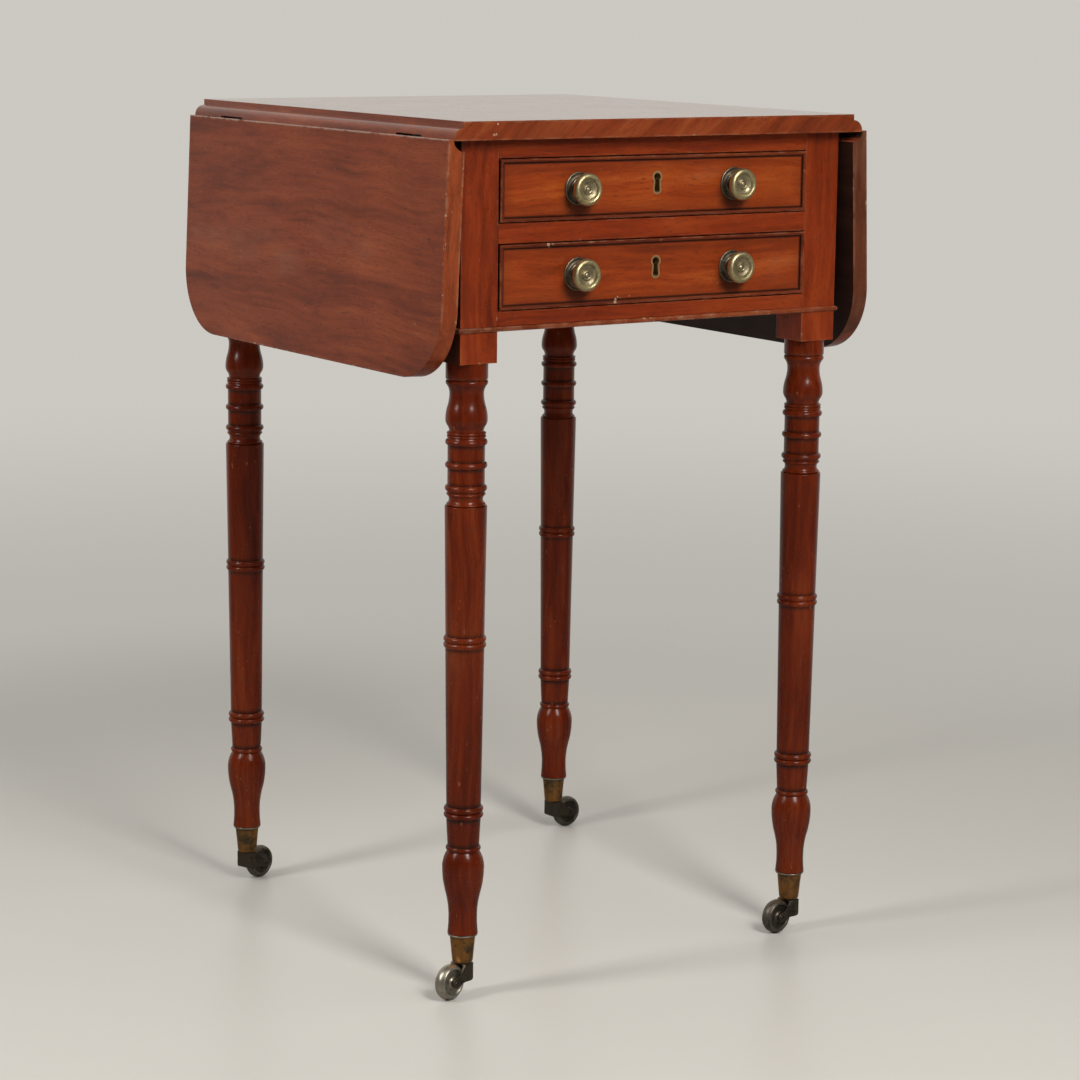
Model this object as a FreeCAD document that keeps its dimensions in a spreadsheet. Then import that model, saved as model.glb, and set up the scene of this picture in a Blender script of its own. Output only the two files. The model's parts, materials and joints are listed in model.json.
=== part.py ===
import FreeCAD
import Part
import os
import re
import Sketcher

# Drop-leaf work table with two drawers on four ring-turned legs.
# Millimetres. +X runs to the right along the drawer fronts, the drawers open towards -Y, +Z is up,
# and the origin lies on the floor midway between the legs.

V = FreeCAD.Vector
doc = FreeCAD.newDocument("DropLeafTable")
sheet = doc.addObject("Spreadsheet::Sheet", "dim")

# Driving dimensions: alias, size, what it measures.
SIZES = [
    ("table_height", 720, "floor to the upper face of the top"),
    ("top_width", 388, "between the two rule joint fillets"),
    ("top_depth", 438, "front to back of the top and of the leaves"),
    ("top_thickness", 15, "thickness of the top and of the leaves"),
    ("side_overhang", 5.5, "fillet of the top past the carcase side"),
    ("front_overhang", 12.75, "top past the carcase front and back"),
    ("joint_fillet", 5, "upright step above the ovolo of the rule joint"),
    ("pin_lift", 1, "hinge pin centre above the underside of the top"),
    ("joint_gap", 0.45, "play between ovolo and cove"),
    ("leaf_width", 191, "leaf from the rule joint to its outer edge"),
    ("leaf_corner", 58, "radius of the leaf's outer corners"),
    ("leaf_lean", 2.5, "degrees that a hanging leaf stands off the upright"),
    ("hinge_inset", 69, "middle of a hinge from the end of the top"),
    ("hinge_width", 38, "hinge along its pin"),
    ("top_flap", 26, "hinge flap under the top, from the pin"),
    ("leaf_flap", 38, "hinge flap under the leaf, from the pin"),
    ("flap_thickness", 2, "hinge flap"),
    ("barrel_radius", 2.6, "hinge knuckle"),
    ("hinge_pin_radius", 1.2, "hinge pin"),
    ("knuckle_length", 12.4, "middle knuckle of a hinge"),
    ("knuckle_gap", 0.25, "between the knuckles of a hinge"),
    ("leg_square", 35, "square upper part of a leg"),
    ("top_rail", 15, "height of the rail over the drawers"),
    ("upper_bay", 51.3, "height of the upper drawer opening"),
    ("middle_rail", 16.2, "height of the rail between the drawers"),
    ("lower_bay", 53.5, "height of the lower drawer opening"),
    ("bottom_rail", 16, "height of the rail under the drawers"),
    ("block_drop", 25, "leg square below the carcase"),
    ("rail_depth", 45, "front rails from front to back"),
    ("side_thickness", 22, "side panels"),
    ("back_thickness", 14, "back panel"),
    ("rail_tenon", 18, "length of the rail and back tenons"),
    ("side_tenon", 12, "length of the side panel tenons"),
    ("tenon_thickness", 8, "all tenons"),
    ("tenon_setback", 12, "rail tenon behind the rail's front face"),
    ("tenon_shoulder", 3, "tenon short of the rail above and below"),
    ("bead_height", 4, "bead round the foot of the carcase"),
    ("bead_proud", 2, "bead in front of the carcase faces"),
    ("bead_inset", 3, "bead let into the carcase faces"),
    ("bead_round", 1.8, "rounding of the bead's nose"),
    ("round_share", 0.48, "most of a strip's height that one rounded edge takes"),
    ("runner_width", 12, "drawer runner beside the leg"),
    ("runner_height", 12, "drawer runner"),
    ("guide_height", 14, "drawer guide above its runner"),
    ("kicker_gap", 0.9, "kicker above the opening's upper edge"),
    ("stop_width", 20, "drawer stop along the rail"),
    ("stop_depth", 12, "drawer stop front to back"),
    ("stop_height", 4, "drawer stop"),
    ("stop_spacing", 160, "between the two stops of a drawer"),
    ("screw_radius", 2, "shank of a top screw"),
    ("screw_head", 4, "radius of a top screw's countersunk head"),
    ("screw_bite", 8, "top screw into the top"),
    ("screw_spacing", 200, "between the two screws of a rail or kicker"),
    ("drawer_gap", 0.7, "drawer clear of its opening"),
    ("drawer_back_gap", 38.5, "drawer clear of the back panel"),
    ("drawer_travel_gap", 0.3, "drawer front clear of its stops"),
    ("front_thickness", 20, "drawer front"),
    ("lining_thickness", 9, "drawer sides and back"),
    ("bottom_thickness", 6, "drawer bottom"),
    ("bottom_lift", 7, "drawer bottom above the drawer's lower edge"),
    ("groove_depth", 4, "groove that holds the drawer bottom"),
    ("side_drop", 2, "drawer side below the drawer front's upper edge"),
    ("back_drop", 5, "drawer back below the drawer side's upper edge"),
    ("tail_lap", 0.5, "wood between the dovetails and the cockbeads"),
    ("tail_width", 15, "dovetail at its wide end"),
    ("tail_slope", 2, "dovetail narrowing on each side"),
    ("cockbead_width", 3, "cockbead seen from the front"),
    ("cockbead_proud", 2, "cockbead in front of the drawer front"),
    ("cockbead_depth", 8, "cockbead let into the drawer front"),
    ("cockbead_round", 1.3, "rounding of the cockbead's nose"),
    ("knob_spacing", 155, "between the two knobs of a drawer"),
    ("knob_radius", 13.4, "knob head"),
    ("knob_head", 6.5, "thickness of the knob head"),
    ("knob_reach", 16.5, "knob face from the drawer front"),
    ("knob_neck", 4.6, "radius of the knob's neck"),
    ("knob_dish", 8.4, "radius of the ringed dish in the knob's face"),
    ("dish_depth", 1, "depth of that dish"),
    ("dish_boss", 3.2, "radius of the small boss in the dish"),
    ("shank_radius", 3, "knob shank in the drawer front"),
    ("shank_length", 17, "knob shank behind the drawer front's face"),
    ("rose_radius", 13.6, "rose behind a knob"),
    ("rose_rim", 1.6, "thickness of the rose at its rim"),
    ("rose_height", 3.4, "thickness of the rose at its middle"),
    ("rose_step", 9.2, "radius of the rose's raised step"),
    ("keyhole_lift", 7.3, "keyhole above the middle of the drawer front"),
    ("keyhole_head", 3.2, "radius of the keyhole"),
    ("keyhole_length", 12.5, "foot of the keyhole below the centre of its head"),
    ("keyhole_waist", 1.9, "half width of the keyhole under its head"),
    ("keyhole_foot", 2.6, "half width of the keyhole at its foot"),
    ("keyhole_sag", 1.3, "rounding under the foot of the keyhole"),
    ("escutcheon_wall", 1.7, "brass lining of the keyhole"),
    ("escutcheon_depth", 6, "brass lining into the drawer front"),
    ("lock_width", 52, "lock case across the drawer"),
    ("lock_height", 36, "lock case"),
    ("lock_clear", 0.9, "lock case at least clear of the drawer bottom"),
    ("lock_depth", 9, "lock case front to back"),
    ("bolt_width", 18, "lock bolt across the drawer"),
    ("bolt_thickness", 3.2, "lock bolt front to back"),
    ("bolt_height", 12, "lock bolt"),
    ("bolt_throw", 6, "travel of the lock bolt"),
    ("bolt_play", 0.4, "lock bolt clear of its case and its mortise"),
    ("bracket_reach", 150, "fly bracket from its pivot to its tip"),
    ("bracket_height", 56, "recess of the fly bracket"),
    ("bracket_thickness", 13.5, "fly bracket"),
    ("bracket_play", 0.5, "fly bracket clear of its recess"),
    ("bracket_pivot", 50, "pivot behind the middle of the table"),
    ("bracket_block", 58, "fixed knuckle block behind the pivot"),
    ("bracket_pin_radius", 1.5, "pivot pin of the fly bracket"),
    ("bracket_tip", 30, "rounding under the fly bracket's tip"),
    ("neck_radius", 17.1, "plain neck under the leg square"),
    ("neck_length", 13, "plain neck"),
    ("neck_groove", 1, "groove under the neck, wide and deep"),
    ("ring_radius", 17.1, "rings and collar of the leg"),
    ("collar_height", 4.2, "collar under the neck"),
    ("waist_fall", 6.8, "collar to waist"),
    ("waist_radius", 13.9, "waist over the vase"),
    ("vase_fall", 21, "waist to the widest part of the vase"),
    ("vase_radius", 17.1, "vase"),
    ("vase_foot_fall", 10, "widest part of the vase to its foot"),
    ("vase_foot_radius", 13.9, "foot of the vase"),
    ("ring_lead", 8.2, "foot of the vase to the first ring"),
    ("ring_pitch", 18.7, "from ring to ring"),
    ("ring_height", 5.2, "rings"),
    ("fine_bead_base", 14.8, "hollow beside a fine bead"),
    ("fine_bead_radius", 15.9, "fine beads under the vase and round the cove"),
    ("fine_bead_height", 2.4, "each fine bead"),
    ("plain_radius", 15.1, "between the rings"),
    ("cove_fall", 9, "last ring to cove"),
    ("cove_radius", 13.8, "cove over the shaft"),
    ("cove_height", 6, "cove over the shaft"),
    ("shaft_arris", 0.6, "rounding of the shaft's upper edge"),
    ("shaft_top_radius", 17.2, "top of the shaft"),
    ("shaft_foot_radius", 14.2, "foot of the shaft"),
    ("reed_share", 0.56, "place of the middle reeds on the shaft"),
    ("reed_height", 5, "each of two reeds"),
    ("reed_radius", 17.5, "middle reeds"),
    ("foot_reed_radius", 16.3, "lower reeds"),
    ("foot_reed_rise", 31, "ankle ring to lower reeds"),
    ("ankle_radius", 13, "ankle"),
    ("ankle_ring_radius", 14.5, "ankle ring"),
    ("ankle_ring_height", 4, "ankle ring"),
    ("ankle_ring_rise", 16.5, "foot bulb to ankle ring"),
    ("foot_bulb_radius", 17.3, "foot bulb"),
    ("foot_bulb_rise", 42, "foot waist to foot bulb"),
    ("foot_waist_radius", 11.8, "foot waist"),
    ("foot_waist_rise", 14.3, "castor cup to foot waist"),
    ("toe_radius", 12.6, "toe over the castor cup"),
    ("spigot_radius", 8, "spigot of the leg in its cup"),
    ("spigot_length", 12, "spigot"),
    ("cup_radius", 10.9, "castor cup at its mouth"),
    ("cup_foot_radius", 8, "castor cup at its foot"),
    ("cup_length", 25.2, "castor cup"),
    ("cup_rim", 0.5, "rim round the mouth of the cup"),
    ("cup_rim_height", 1.6, "height of that rim"),
    ("wheel_radius", 15, "castor wheel"),
    ("wheel_width", 10, "castor wheel"),
    ("wheel_hub", 4.4, "hub of the castor wheel"),
    ("wheel_rim", 11, "inner edge of the wheel's rim"),
    ("wheel_dish", 1.6, "hollow in each side of the wheel"),
    ("castor_trail", 16.5, "wheel axle behind the swivel axis"),
    ("fork_rise", 13.2, "top of the fork above the axle"),
    ("fork_width", 15.6, "fork across its cheeks"),
    ("fork_boss", 7, "radius of the fork's top"),
    ("cheek_radius", 5, "fork cheek round the axle"),
    ("wheel_gap", 0.6, "wheel clear of the fork's cheeks"),
    ("fork_clear", 1.2, "wheel tread clear of the fork"),
    ("swivel_gap", 0.3, "fork clear of the cup"),
    ("swivel_radius", 4, "swivel pin"),
    ("swivel_length", 8, "swivel pin in the cup"),
    ("axle_radius", 2, "wheel axle"),
    ("running_fit", 0.05, "radial play of pins that turn"),
    ("turn_front_left", 199, "degrees from +X that the castor trails"),
    ("turn_front_right", 191, "degrees from +X that the castor trails"),
    ("turn_back_left", 20, "degrees from +X that the castor trails"),
    ("turn_back_right", 6, "degrees from +X that the castor trails"),
]

for row, (alias, size, note) in enumerate(SIZES, 1):
    sheet.set("A%d" % row, note)
    sheet.set("B%d" % row, str(size))
    sheet.setAlias("B%d" % row, alias)
doc.recompute()

# Places worked out from the driving dimensions.
PLACES = {
    "underside": "table_height - top_thickness",
    "pin_height": "underside + pin_lift",
    "ovolo": "top_thickness - joint_fillet - pin_lift",
    "pin_x": "top_width / 2",
    "case_x": "top_width / 2 - side_overhang",
    "case_y": "top_depth / 2 - front_overhang",
    "leg_x": "case_x - leg_square / 2",
    "leg_y": "case_y - leg_square / 2",
    "bay_x": "case_x - leg_square",
    "bay_y": "case_y - leg_square",
    "side_in": "case_x - side_thickness",
    "back_in": "case_y - back_thickness",
    "rail_back": "rail_depth - case_y",
    "upper_top": "underside - top_rail",
    "upper_floor": "upper_top - upper_bay",
    "lower_top": "upper_floor - middle_rail",
    "lower_floor": "lower_top - lower_bay",
    "case_floor": "lower_floor - bottom_rail",
    "block_floor": "case_floor - block_drop",
    "front_back": "front_thickness - case_y",
    "tail_length": "front_thickness - cockbead_depth - tail_lap",
    "drawer_x": "bay_x - drawer_gap",
    "drawer_in": "drawer_x - lining_thickness",
    "drawer_end": "back_in - drawer_back_gap",
    "fork_top": "wheel_radius + fork_rise",
    "cup_floor": "fork_top + swivel_gap",
    "cup_top": "cup_floor + cup_length",
    "collar_top": "block_floor - neck_length - neck_groove",
    "collar_floor": "collar_top - collar_height",
    "waist_z": "collar_floor - waist_fall",
    "vase_z": "waist_z - vase_fall",
    "vase_foot_z": "vase_z - vase_foot_fall",
    "ring_z": "vase_foot_z - ring_lead",
    "cove_z": "ring_z - 2 * ring_pitch - cove_fall",
    "shaft_z": "cove_z - cove_height / 2 - fine_bead_height",
    "foot_waist_z": "cup_top + foot_waist_rise",
    "foot_bulb_z": "foot_waist_z + foot_bulb_rise",
    "ankle_ring_z": "foot_bulb_z + ankle_ring_rise",
    "foot_reed_z": "ankle_ring_z + foot_reed_rise",
    "reed_z": "foot_reed_z + reed_share * (shaft_z - foot_reed_z)",
    "shaft_mid_radius": "shaft_foot_radius + reed_share * (shaft_top_radius - shaft_foot_radius)",
    "hinge_y": "top_depth / 2 - hinge_inset",
    "bracket_x": "case_x - bracket_thickness / 2",
    "bracket_floor": "underside - bracket_height",
    "knuckle_third": "(bracket_height - 2 * bracket_play) / 3",
    "bolt_y": "front_back - lock_depth / 2",
}

WORD = re.compile(r"[A-Za-z_]\w*")
ALIASES = {alias for alias, size, note in SIZES}


def expand(text):
    """Write an expression out in terms of the sheet's cells."""
    def swap(match):
        word = match.group(0)
        if word in PLACES:
            return "(%s)" % expand(PLACES[word])
        return "dim." + word if word in ALIASES else word
    return WORD.sub(swap, str(text))


def value(text):
    """The present size of an expression."""
    return float(sheet.evalExpression(expand(text)))


def bind(item, prop, text):
    item.setExpression(prop, expand(text))


def move(item, x="0", y="0", z="0"):
    for axis, text in zip("xyz", (x, y, z)):
        bind(item, "Placement.Base." + axis, text)
    return item


def turn(item, axis, angle):
    item.Placement = FreeCAD.Placement(V(), FreeCAD.Rotation(axis, value(angle)))
    bind(item, "Placement.Rotation.Angle", angle)
    return item


# Solids and their combinations.

def box(name, x, y, z):
    """A block between a low and a high expression on each axis."""
    item = doc.addObject("Part::Box", name)
    for prop, (low, high) in zip(("Length", "Width", "Height"), (x, y, z)):
        bind(item, prop, "(%s) - (%s)" % (high, low))
    return move(item, x[0], y[0], z[0])


def upright(name, radius, x, y, z):
    """A round pin along Z."""
    item = doc.addObject("Part::Cylinder", name)
    bind(item, "Radius", radius)
    bind(item, "Height", "(%s) - (%s)" % (z[1], z[0]))
    return move(item, x, y, z[0])


def rod(name, radius, x, y, z):
    """A round pin along Y."""
    item = doc.addObject("Part::Cylinder", name)
    bind(item, "Radius", radius)
    bind(item, "Height", "(%s) - (%s)" % (y[1], y[0]))
    item.Placement = FreeCAD.Placement(V(), FreeCAD.Rotation(V(1, 0, 0), -90))
    return move(item, x, y[0], z)


def fuse(name, *solids):
    item = doc.addObject("Part::MultiFuse", name)
    item.Shapes = list(solids)
    item.Refine = True
    return item


def cut(name, base, *tools):
    item = doc.addObject("Part::Cut", name)
    item.Base = base
    item.Tool = tools[0] if len(tools) == 1 else group(name + "_cutters", *tools)
    return item


def group(name, *solids):
    item = doc.addObject("Part::Compound", name)
    item.Links = list(solids)
    return item


def mirror(name, source, normal=V(1, 0, 0)):
    item = doc.addObject("Part::Mirroring", name)
    item.Source = source
    item.Base = V()
    item.Normal = normal
    return item


# Sketches. A path is a start point and then steps, clockwise: a point alone is a straight run, "bulge" is
# an arc that swells outwards by a given height, and "level" is an arc whose centre lies at a given height.

def arc_through(start, middle, end):
    """The arc, and which of its ends is the path's start."""
    turn_left = (middle[0] - start[0]) * (end[1] - start[1]) > (middle[1] - start[1]) * (end[0] - start[0])
    arc = Part.Arc(V(*start, 0), V(*middle, 0), V(*end, 0))
    return arc, (1, 2) if turn_left else (2, 1)


def bulge_middle(start, end, height):
    dx, dy = end[0] - start[0], end[1] - start[1]
    length = (dx * dx + dy * dy) ** 0.5
    return (start[0] + end[0]) / 2 - dy * height / length, (start[1] + end[1]) / 2 + dx * height / length


def level_middle(start, end, level):
    rise = (end[1] - level) ** 2 - (start[1] - level) ** 2
    centre = (end[0] + start[0] + rise / (end[0] - start[0])) / 2
    radius = ((start[0] - centre) ** 2 + (start[1] - level) ** 2) ** 0.5
    across = (start[0] + end[0]) / 2 - centre
    up = (start[1] + end[1]) / 2 - level
    reach = radius / (across * across + up * up) ** 0.5
    return centre + across * reach, level + up * reach


def bulge_radius(start, step):
    """Radius of the arc over a chord, from the height by which it swells."""
    chord = "((%s) - (%s))^2 + ((%s) - (%s))^2" % (step[0], start[0], step[1], start[1])
    return "((%s) / 4 + (%s)^2) / (2 * abs(%s))" % (chord, step[3], step[3])


def draw(sketch, path):
    """Draw a closed path, with every corner and arc bound to the sheet."""
    corners = [step[:2] for step in path]
    spots = [(value(x), value(y)) for x, y in corners]
    geometry, ends, rules = [], [], []
    for index in range(len(path)):
        after = (index + 1) % len(path)
        step, start, end = path[after], spots[index], spots[after]
        if len(step) == 2:
            geometry.append(Part.LineSegment(V(*start, 0), V(*end, 0)))
            ends.append((1, 2))
            continue
        find_middle = bulge_middle if step[2] == "bulge" else level_middle
        arc, order = arc_through(start, find_middle(start, end, value(step[3])), end)
        geometry.append(arc)
        ends.append(order)
        if step[2] == "bulge":
            rules.append(("Radius", index, None, bulge_radius(corners[index], step)))
        else:
            rules.append(("DistanceY", index, 3, step[3]))
    sketch.addGeometry(geometry, False)
    constraints = []
    for index in range(len(path)):
        after = (index + 1) % len(path)
        constraints.append(Sketcher.Constraint("Coincident", index, ends[index][1], after, ends[after][0]))
        rules.append(("DistanceX", index, ends[index][0], corners[index][0]))
        rules.append(("DistanceY", index, ends[index][0], corners[index][1]))
    for kind, index, point, text in rules:
        if kind == "Radius":
            constraints.append(Sketcher.Constraint(kind, index, value(text)))
        else:
            constraints.append(Sketcher.Constraint(kind, -1, 1, index, point, value(text)))
    numbers = sketch.addConstraint(constraints)
    for number, rule in zip(numbers[len(path):], rules):
        bind(sketch, "Constraints[%d]" % number, rule[3])


def new_sketch(body, plane, path, offset="0"):
    sketch = body.newObject("Sketcher::SketchObject", body.Name + "_sketch")
    support = next(item for item in body.Origin.OriginFeatures if item.Role == plane)
    sketch.AttachmentSupport = [(support, "")]
    sketch.MapMode = "FlatFace"
    bind(sketch, "AttachmentOffset.Base.z", offset)
    draw(sketch, path)
    return sketch


def add_pad(body, plane, offset, length, path):
    pad = body.newObject("PartDesign::Pad", body.Name + "_pad")
    pad.Profile = new_sketch(body, plane, path, offset)
    bind(pad, "Length", length)
    return pad


def prism(name, plane, offset, length, path):
    """An outline on a plane, moved along the plane's normal by offset and padded by length."""
    body = doc.addObject("PartDesign::Body", name)
    add_pad(body, plane, offset, length, path)
    return body


def turned(name, path, plane="XZ_Plane"):
    """A profile of radius and height, turned about Z, or about Y when drawn on XY_Plane."""
    body = doc.addObject("PartDesign::Body", name)
    lathe = body.newObject("PartDesign::Revolution", name + "_turning")
    lathe.Profile = new_sketch(body, plane, path)
    lathe.ReferenceAxis = (lathe.Profile[0], ["V_Axis"])
    lathe.Angle = 360
    return body


def rectangle(x, y):
    return [(x[0], y[0]), (x[0], y[1]), (x[1], y[1]), (x[1], y[0])]


def round_edges(body, pick, radius):
    """Round the edges of a body that a test picks out."""
    doc.recompute()
    base = body.Tip
    names = ["Edge%d" % number for number, edge in enumerate(base.Shape.Edges, 1) if pick(edge)]
    fillet = body.newObject("PartDesign::Fillet", body.Name + "_round")
    fillet.Base = (base, names)
    bind(fillet, "Radius", radius)
    body.Tip = fillet


# Beads are strips along X with mitred ends, their nose towards -Y.

def nose_edge(depth):
    """A test for the two long edges of a strip's nose."""
    nose, slack = -value(depth), 1e-6

    def test(edge):
        first, last = edge.Vertexes[0], edge.Vertexes[-1]
        return abs(first.Z - last.Z) < slack and abs(first.Y - nose) + abs(last.Y - nose) < slack
    return test


def cockbead(name, length):
    """A strip round a drawer front, mitred as seen from the front, its outer edge at height 0."""
    width, depth = "cockbead_width", "cockbead_depth + cockbead_proud"
    half = "(%s) / 2" % length
    outline = [("-" + half, "0"), ("%s - %s" % (width, half), width),
               ("%s - %s" % (half, width), width), (half, "0")]
    strip = prism(name, "XZ_Plane", "0", depth, outline)
    round_edges(strip, nose_edge(depth), "min(cockbead_round; round_share * cockbead_width)")
    return strip


def base_bead_strip(name, length):
    """A strip round the foot of the carcase, mitred in plan, its back edge on the X axis."""
    depth = "(bead_proud + bead_inset)"
    half = "(%s) / 2" % length
    outline = [("-" + half, "-" + depth), ("%s - %s" % (depth, half), "0"),
               ("%s - %s" % (half, depth), "0"), (half, "-" + depth)]
    strip = prism(name, "XY_Plane", "0", "bead_height", outline)
    round_edges(strip, nose_edge(depth), "min(bead_round; round_share * bead_height)")
    return strip


# Legs: a square with the turning below it, from neck and vase through rings, shaft and reeds to the toe.

def s_curve(radius_from, z_from, radius_to, z_to):
    """Two arcs from one upright tangent to the next."""
    middle = ("((%s) + (%s)) / 2" % (radius_from, radius_to), "((%s) + (%s)) / 2" % (z_from, z_to))
    return [middle + ("level", z_from), (radius_to, z_to, "level", z_to)]


def ring(radius, z, height, swell):
    """A half-round ring on a plain stretch of the given radius."""
    return [(radius, "%s + %s / 2" % (z, height)),
            (radius, "%s - %s / 2" % (z, height), "bulge", "%s - (%s)" % (swell, radius))]


def reeds(radius, z, height, swell):
    """A pair of half-round reeds side by side."""
    rise = "%s - (%s)" % (swell, radius)
    return [(radius, "%s + %s" % (z, height)), (radius, z, "bulge", rise),
            (radius, "%s - %s" % (z, height), "bulge", rise)]


def leg_profile():
    groove_radius = "neck_radius - neck_groove"
    path = [("0", "block_floor"), ("neck_radius", "block_floor"),
            ("neck_radius", "block_floor - neck_length"), (groove_radius, "block_floor - neck_length"),
            (groove_radius, "collar_top"),
            (groove_radius, "collar_floor", "bulge", "ring_radius - (%s)" % groove_radius),
            ("waist_radius", "waist_z", "level", "waist_z")]
    path += s_curve("waist_radius", "waist_z", "vase_radius", "vase_z")
    path += s_curve("vase_radius", "vase_z", "vase_foot_radius", "vase_foot_z")
    path += reeds("fine_bead_base", "vase_foot_z - fine_bead_height", "fine_bead_height", "fine_bead_radius")
    path += [("plain_radius", "vase_foot_z - 2 * fine_bead_height")]
    for number in range(3):
        path += ring("plain_radius", "ring_z - %d * ring_pitch" % number, "ring_height", "ring_radius")
    rise = "fine_bead_radius - fine_bead_base"
    path += [("plain_radius", "cove_z + cove_height / 2 + fine_bead_height"),
             ("fine_bead_base", "cove_z + cove_height / 2 + fine_bead_height"),
             ("fine_bead_base", "cove_z + cove_height / 2", "bulge", rise),
             ("cove_radius", "cove_z", "level", "cove_z"),
             ("fine_bead_base", "cove_z - cove_height / 2", "level", "cove_z"),
             ("fine_bead_base", "shaft_z", "bulge", rise), ("shaft_top_radius - shaft_arris", "shaft_z"),
             ("shaft_top_radius", "shaft_z - shaft_arris", "level", "shaft_z - shaft_arris")]
    path += reeds("shaft_mid_radius", "reed_z", "reed_height", "reed_radius")
    path += reeds("shaft_foot_radius", "foot_reed_z", "reed_height", "foot_reed_radius")
    path += ring("ankle_radius", "ankle_ring_z", "ankle_ring_height", "ankle_ring_radius")
    path += [("foot_bulb_radius", "foot_bulb_z", "level", "foot_bulb_z")]
    path += s_curve("foot_bulb_radius", "foot_bulb_z", "foot_waist_radius", "foot_waist_z")
    path += [("toe_radius", "cup_top", "level", "foot_waist_z"), ("spigot_radius", "cup_top"),
             ("spigot_radius", "cup_top - spigot_length"), ("0", "cup_top - spigot_length")]
    return path


def leg_blank(name, y):
    leg = turned(name, leg_profile())
    half = "leg_square / 2"
    square = rectangle(("-" + half, half), ("-" + half, half))
    add_pad(leg, "XY_Plane", "block_floor", "underside - (block_floor)", square)
    return move(leg, "leg_x", y)


# Carcase: rails and panels with tenons in the legs, and a bead let in round its foot.

def front_rail(name, z):
    board = box(name + "_board", ("-bay_x", "bay_x"), ("-case_y", "rail_back"), z)
    tenon = box(name + "_tenon", ("-bay_x - rail_tenon", "bay_x + rail_tenon"),
                ("tenon_setback - case_y", "tenon_setback + tenon_thickness - case_y"),
                (z[0] + " + tenon_shoulder", z[1] + " - tenon_shoulder"))
    return fuse(name + "_blank", board, tenon)


top_rail_blank = front_rail("front_top_rail", ("upper_top", "underside"))
middle_rail_blank = front_rail("front_middle_rail", ("lower_top", "upper_floor"))
bottom_rail_blank = front_rail("front_bottom_rail", ("case_floor", "lower_floor"))

case_height = ("case_floor", "underside")
tenon_height = ("case_floor + bottom_rail", "underside - top_rail")
side_board = box("side_board", ("side_in", "case_x"), ("-bay_y", "bay_y"), case_height)
side_tenons = box("side_tenons", ("case_x - (side_thickness + tenon_thickness) / 2",
                                  "case_x - (side_thickness - tenon_thickness) / 2"),
                  ("-bay_y - side_tenon", "bay_y + side_tenon"), tenon_height)
side_blank = fuse("side_blank", side_board, side_tenons)
back_board = box("back_board", ("-bay_x", "bay_x"), ("back_in", "case_y"), case_height)
back_tenons = box("back_tenons", ("-bay_x - rail_tenon", "bay_x + rail_tenon"),
                  ("case_y - (back_thickness + tenon_thickness) / 2",
                   "case_y - (back_thickness - tenon_thickness) / 2"), tenon_height)
back_blank = fuse("back_blank", back_board, back_tenons)

bead_width, bead_length = "2 * (case_x + bead_proud)", "2 * (case_y + bead_proud)"
bead_sides = {
    "front_bead": (bead_width, "0", "0", "bead_inset - case_y"),
    "right_bead": (bead_length, "90", "case_x - bead_inset", "0"),
    "back_bead": (bead_width, "180", "0", "case_y - bead_inset"),
    "left_bead": (bead_length, "270", "bead_inset - case_x", "0"),
}
bead_strips = []
for side, (length, angle, x, y) in bead_sides.items():
    strip = turn(base_bead_strip(side, length), V(0, 0, 1), angle)
    bead_strips.append(move(strip, x, y, "case_floor"))
base_bead = group("base_bead", *bead_strips)

front_leg = cut("leg_front_right", leg_blank("front_leg_blank", "-leg_y"), top_rail_blank,
                middle_rail_blank, bottom_rail_blank, side_blank, base_bead)
back_leg = cut("leg_back_right", leg_blank("back_leg_blank", "leg_y"), side_blank, back_blank, base_bead)
legs = [front_leg, back_leg, mirror("leg_front_left", front_leg), mirror("leg_back_left", back_leg)]

front_bottom_rail = cut("front_bottom_rail", bottom_rail_blank, base_bead)
back_panel = cut("back_panel", back_blank, base_bead)


# Drawer runners with their guides, kickers under the top, stops, and the screws that hold the top.

def runner(name, floor):
    tread = box(name + "_tread", ("bay_x - runner_width", "bay_x"), ("rail_back", "back_in"),
                (floor + " - runner_height", floor))
    guide = box(name + "_guide", ("bay_x", "side_in"), ("rail_back", "bay_y"),
                (floor + " - runner_height", floor + " + guide_height"))
    return fuse(name, tread, guide)


def stop(name, floor):
    return box(name, ("(stop_spacing - stop_width) / 2", "(stop_spacing + stop_width) / 2"),
               ("front_back + drawer_travel_gap", "front_back + drawer_travel_gap + stop_depth"),
               (floor, floor + " + stop_height"))


def top_screw(name, x, y, floor):
    """A countersunk screw up through a rail or kicker into the top."""
    profile = [("0", "underside + screw_bite"), ("screw_radius", "underside + screw_bite"),
               ("screw_radius", floor + " + screw_head - screw_radius"), ("screw_head", floor), ("0", floor)]
    return move(turned(name, profile), x, y)


def both_sides(solid):
    return [solid, mirror(solid.Name + "_left", solid)]


kicker_blank = box("kicker_blank", ("bay_x - runner_width", "side_in"), ("rail_back", "bay_y"),
                   ("upper_top + kicker_gap", "underside"))
kicker_x = "bay_x - runner_width / 2"
rail_screw_y = "(rail_back - case_y) / 2"
screws = [top_screw("rail_screw", "screw_spacing / 2", rail_screw_y, "upper_top"),
          top_screw("kicker_screw_front", kicker_x, "-screw_spacing / 2", "upper_top + kicker_gap"),
          top_screw("kicker_screw_back", kicker_x, "screw_spacing / 2", "upper_top + kicker_gap")]
top_screws = group("top_screws", *sum((both_sides(screw) for screw in screws), []))
kicker = cut("kicker", kicker_blank, top_screws)
strips = [runner("upper_runner", "upper_floor"), runner("lower_runner", "lower_floor"), kicker]
drawer_runners = group("drawer_runners", *sum((both_sides(strip) for strip in strips), []))
stops = [stop("upper_stop", "upper_floor"), stop("lower_stop", "lower_floor")]
drawer_stops = group("drawer_stops", *sum((both_sides(item) for item in stops), []))


# Rule joint: the top ends in a fillet and an ovolo about the hinge pin, and the leaf has the matching cove.

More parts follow.
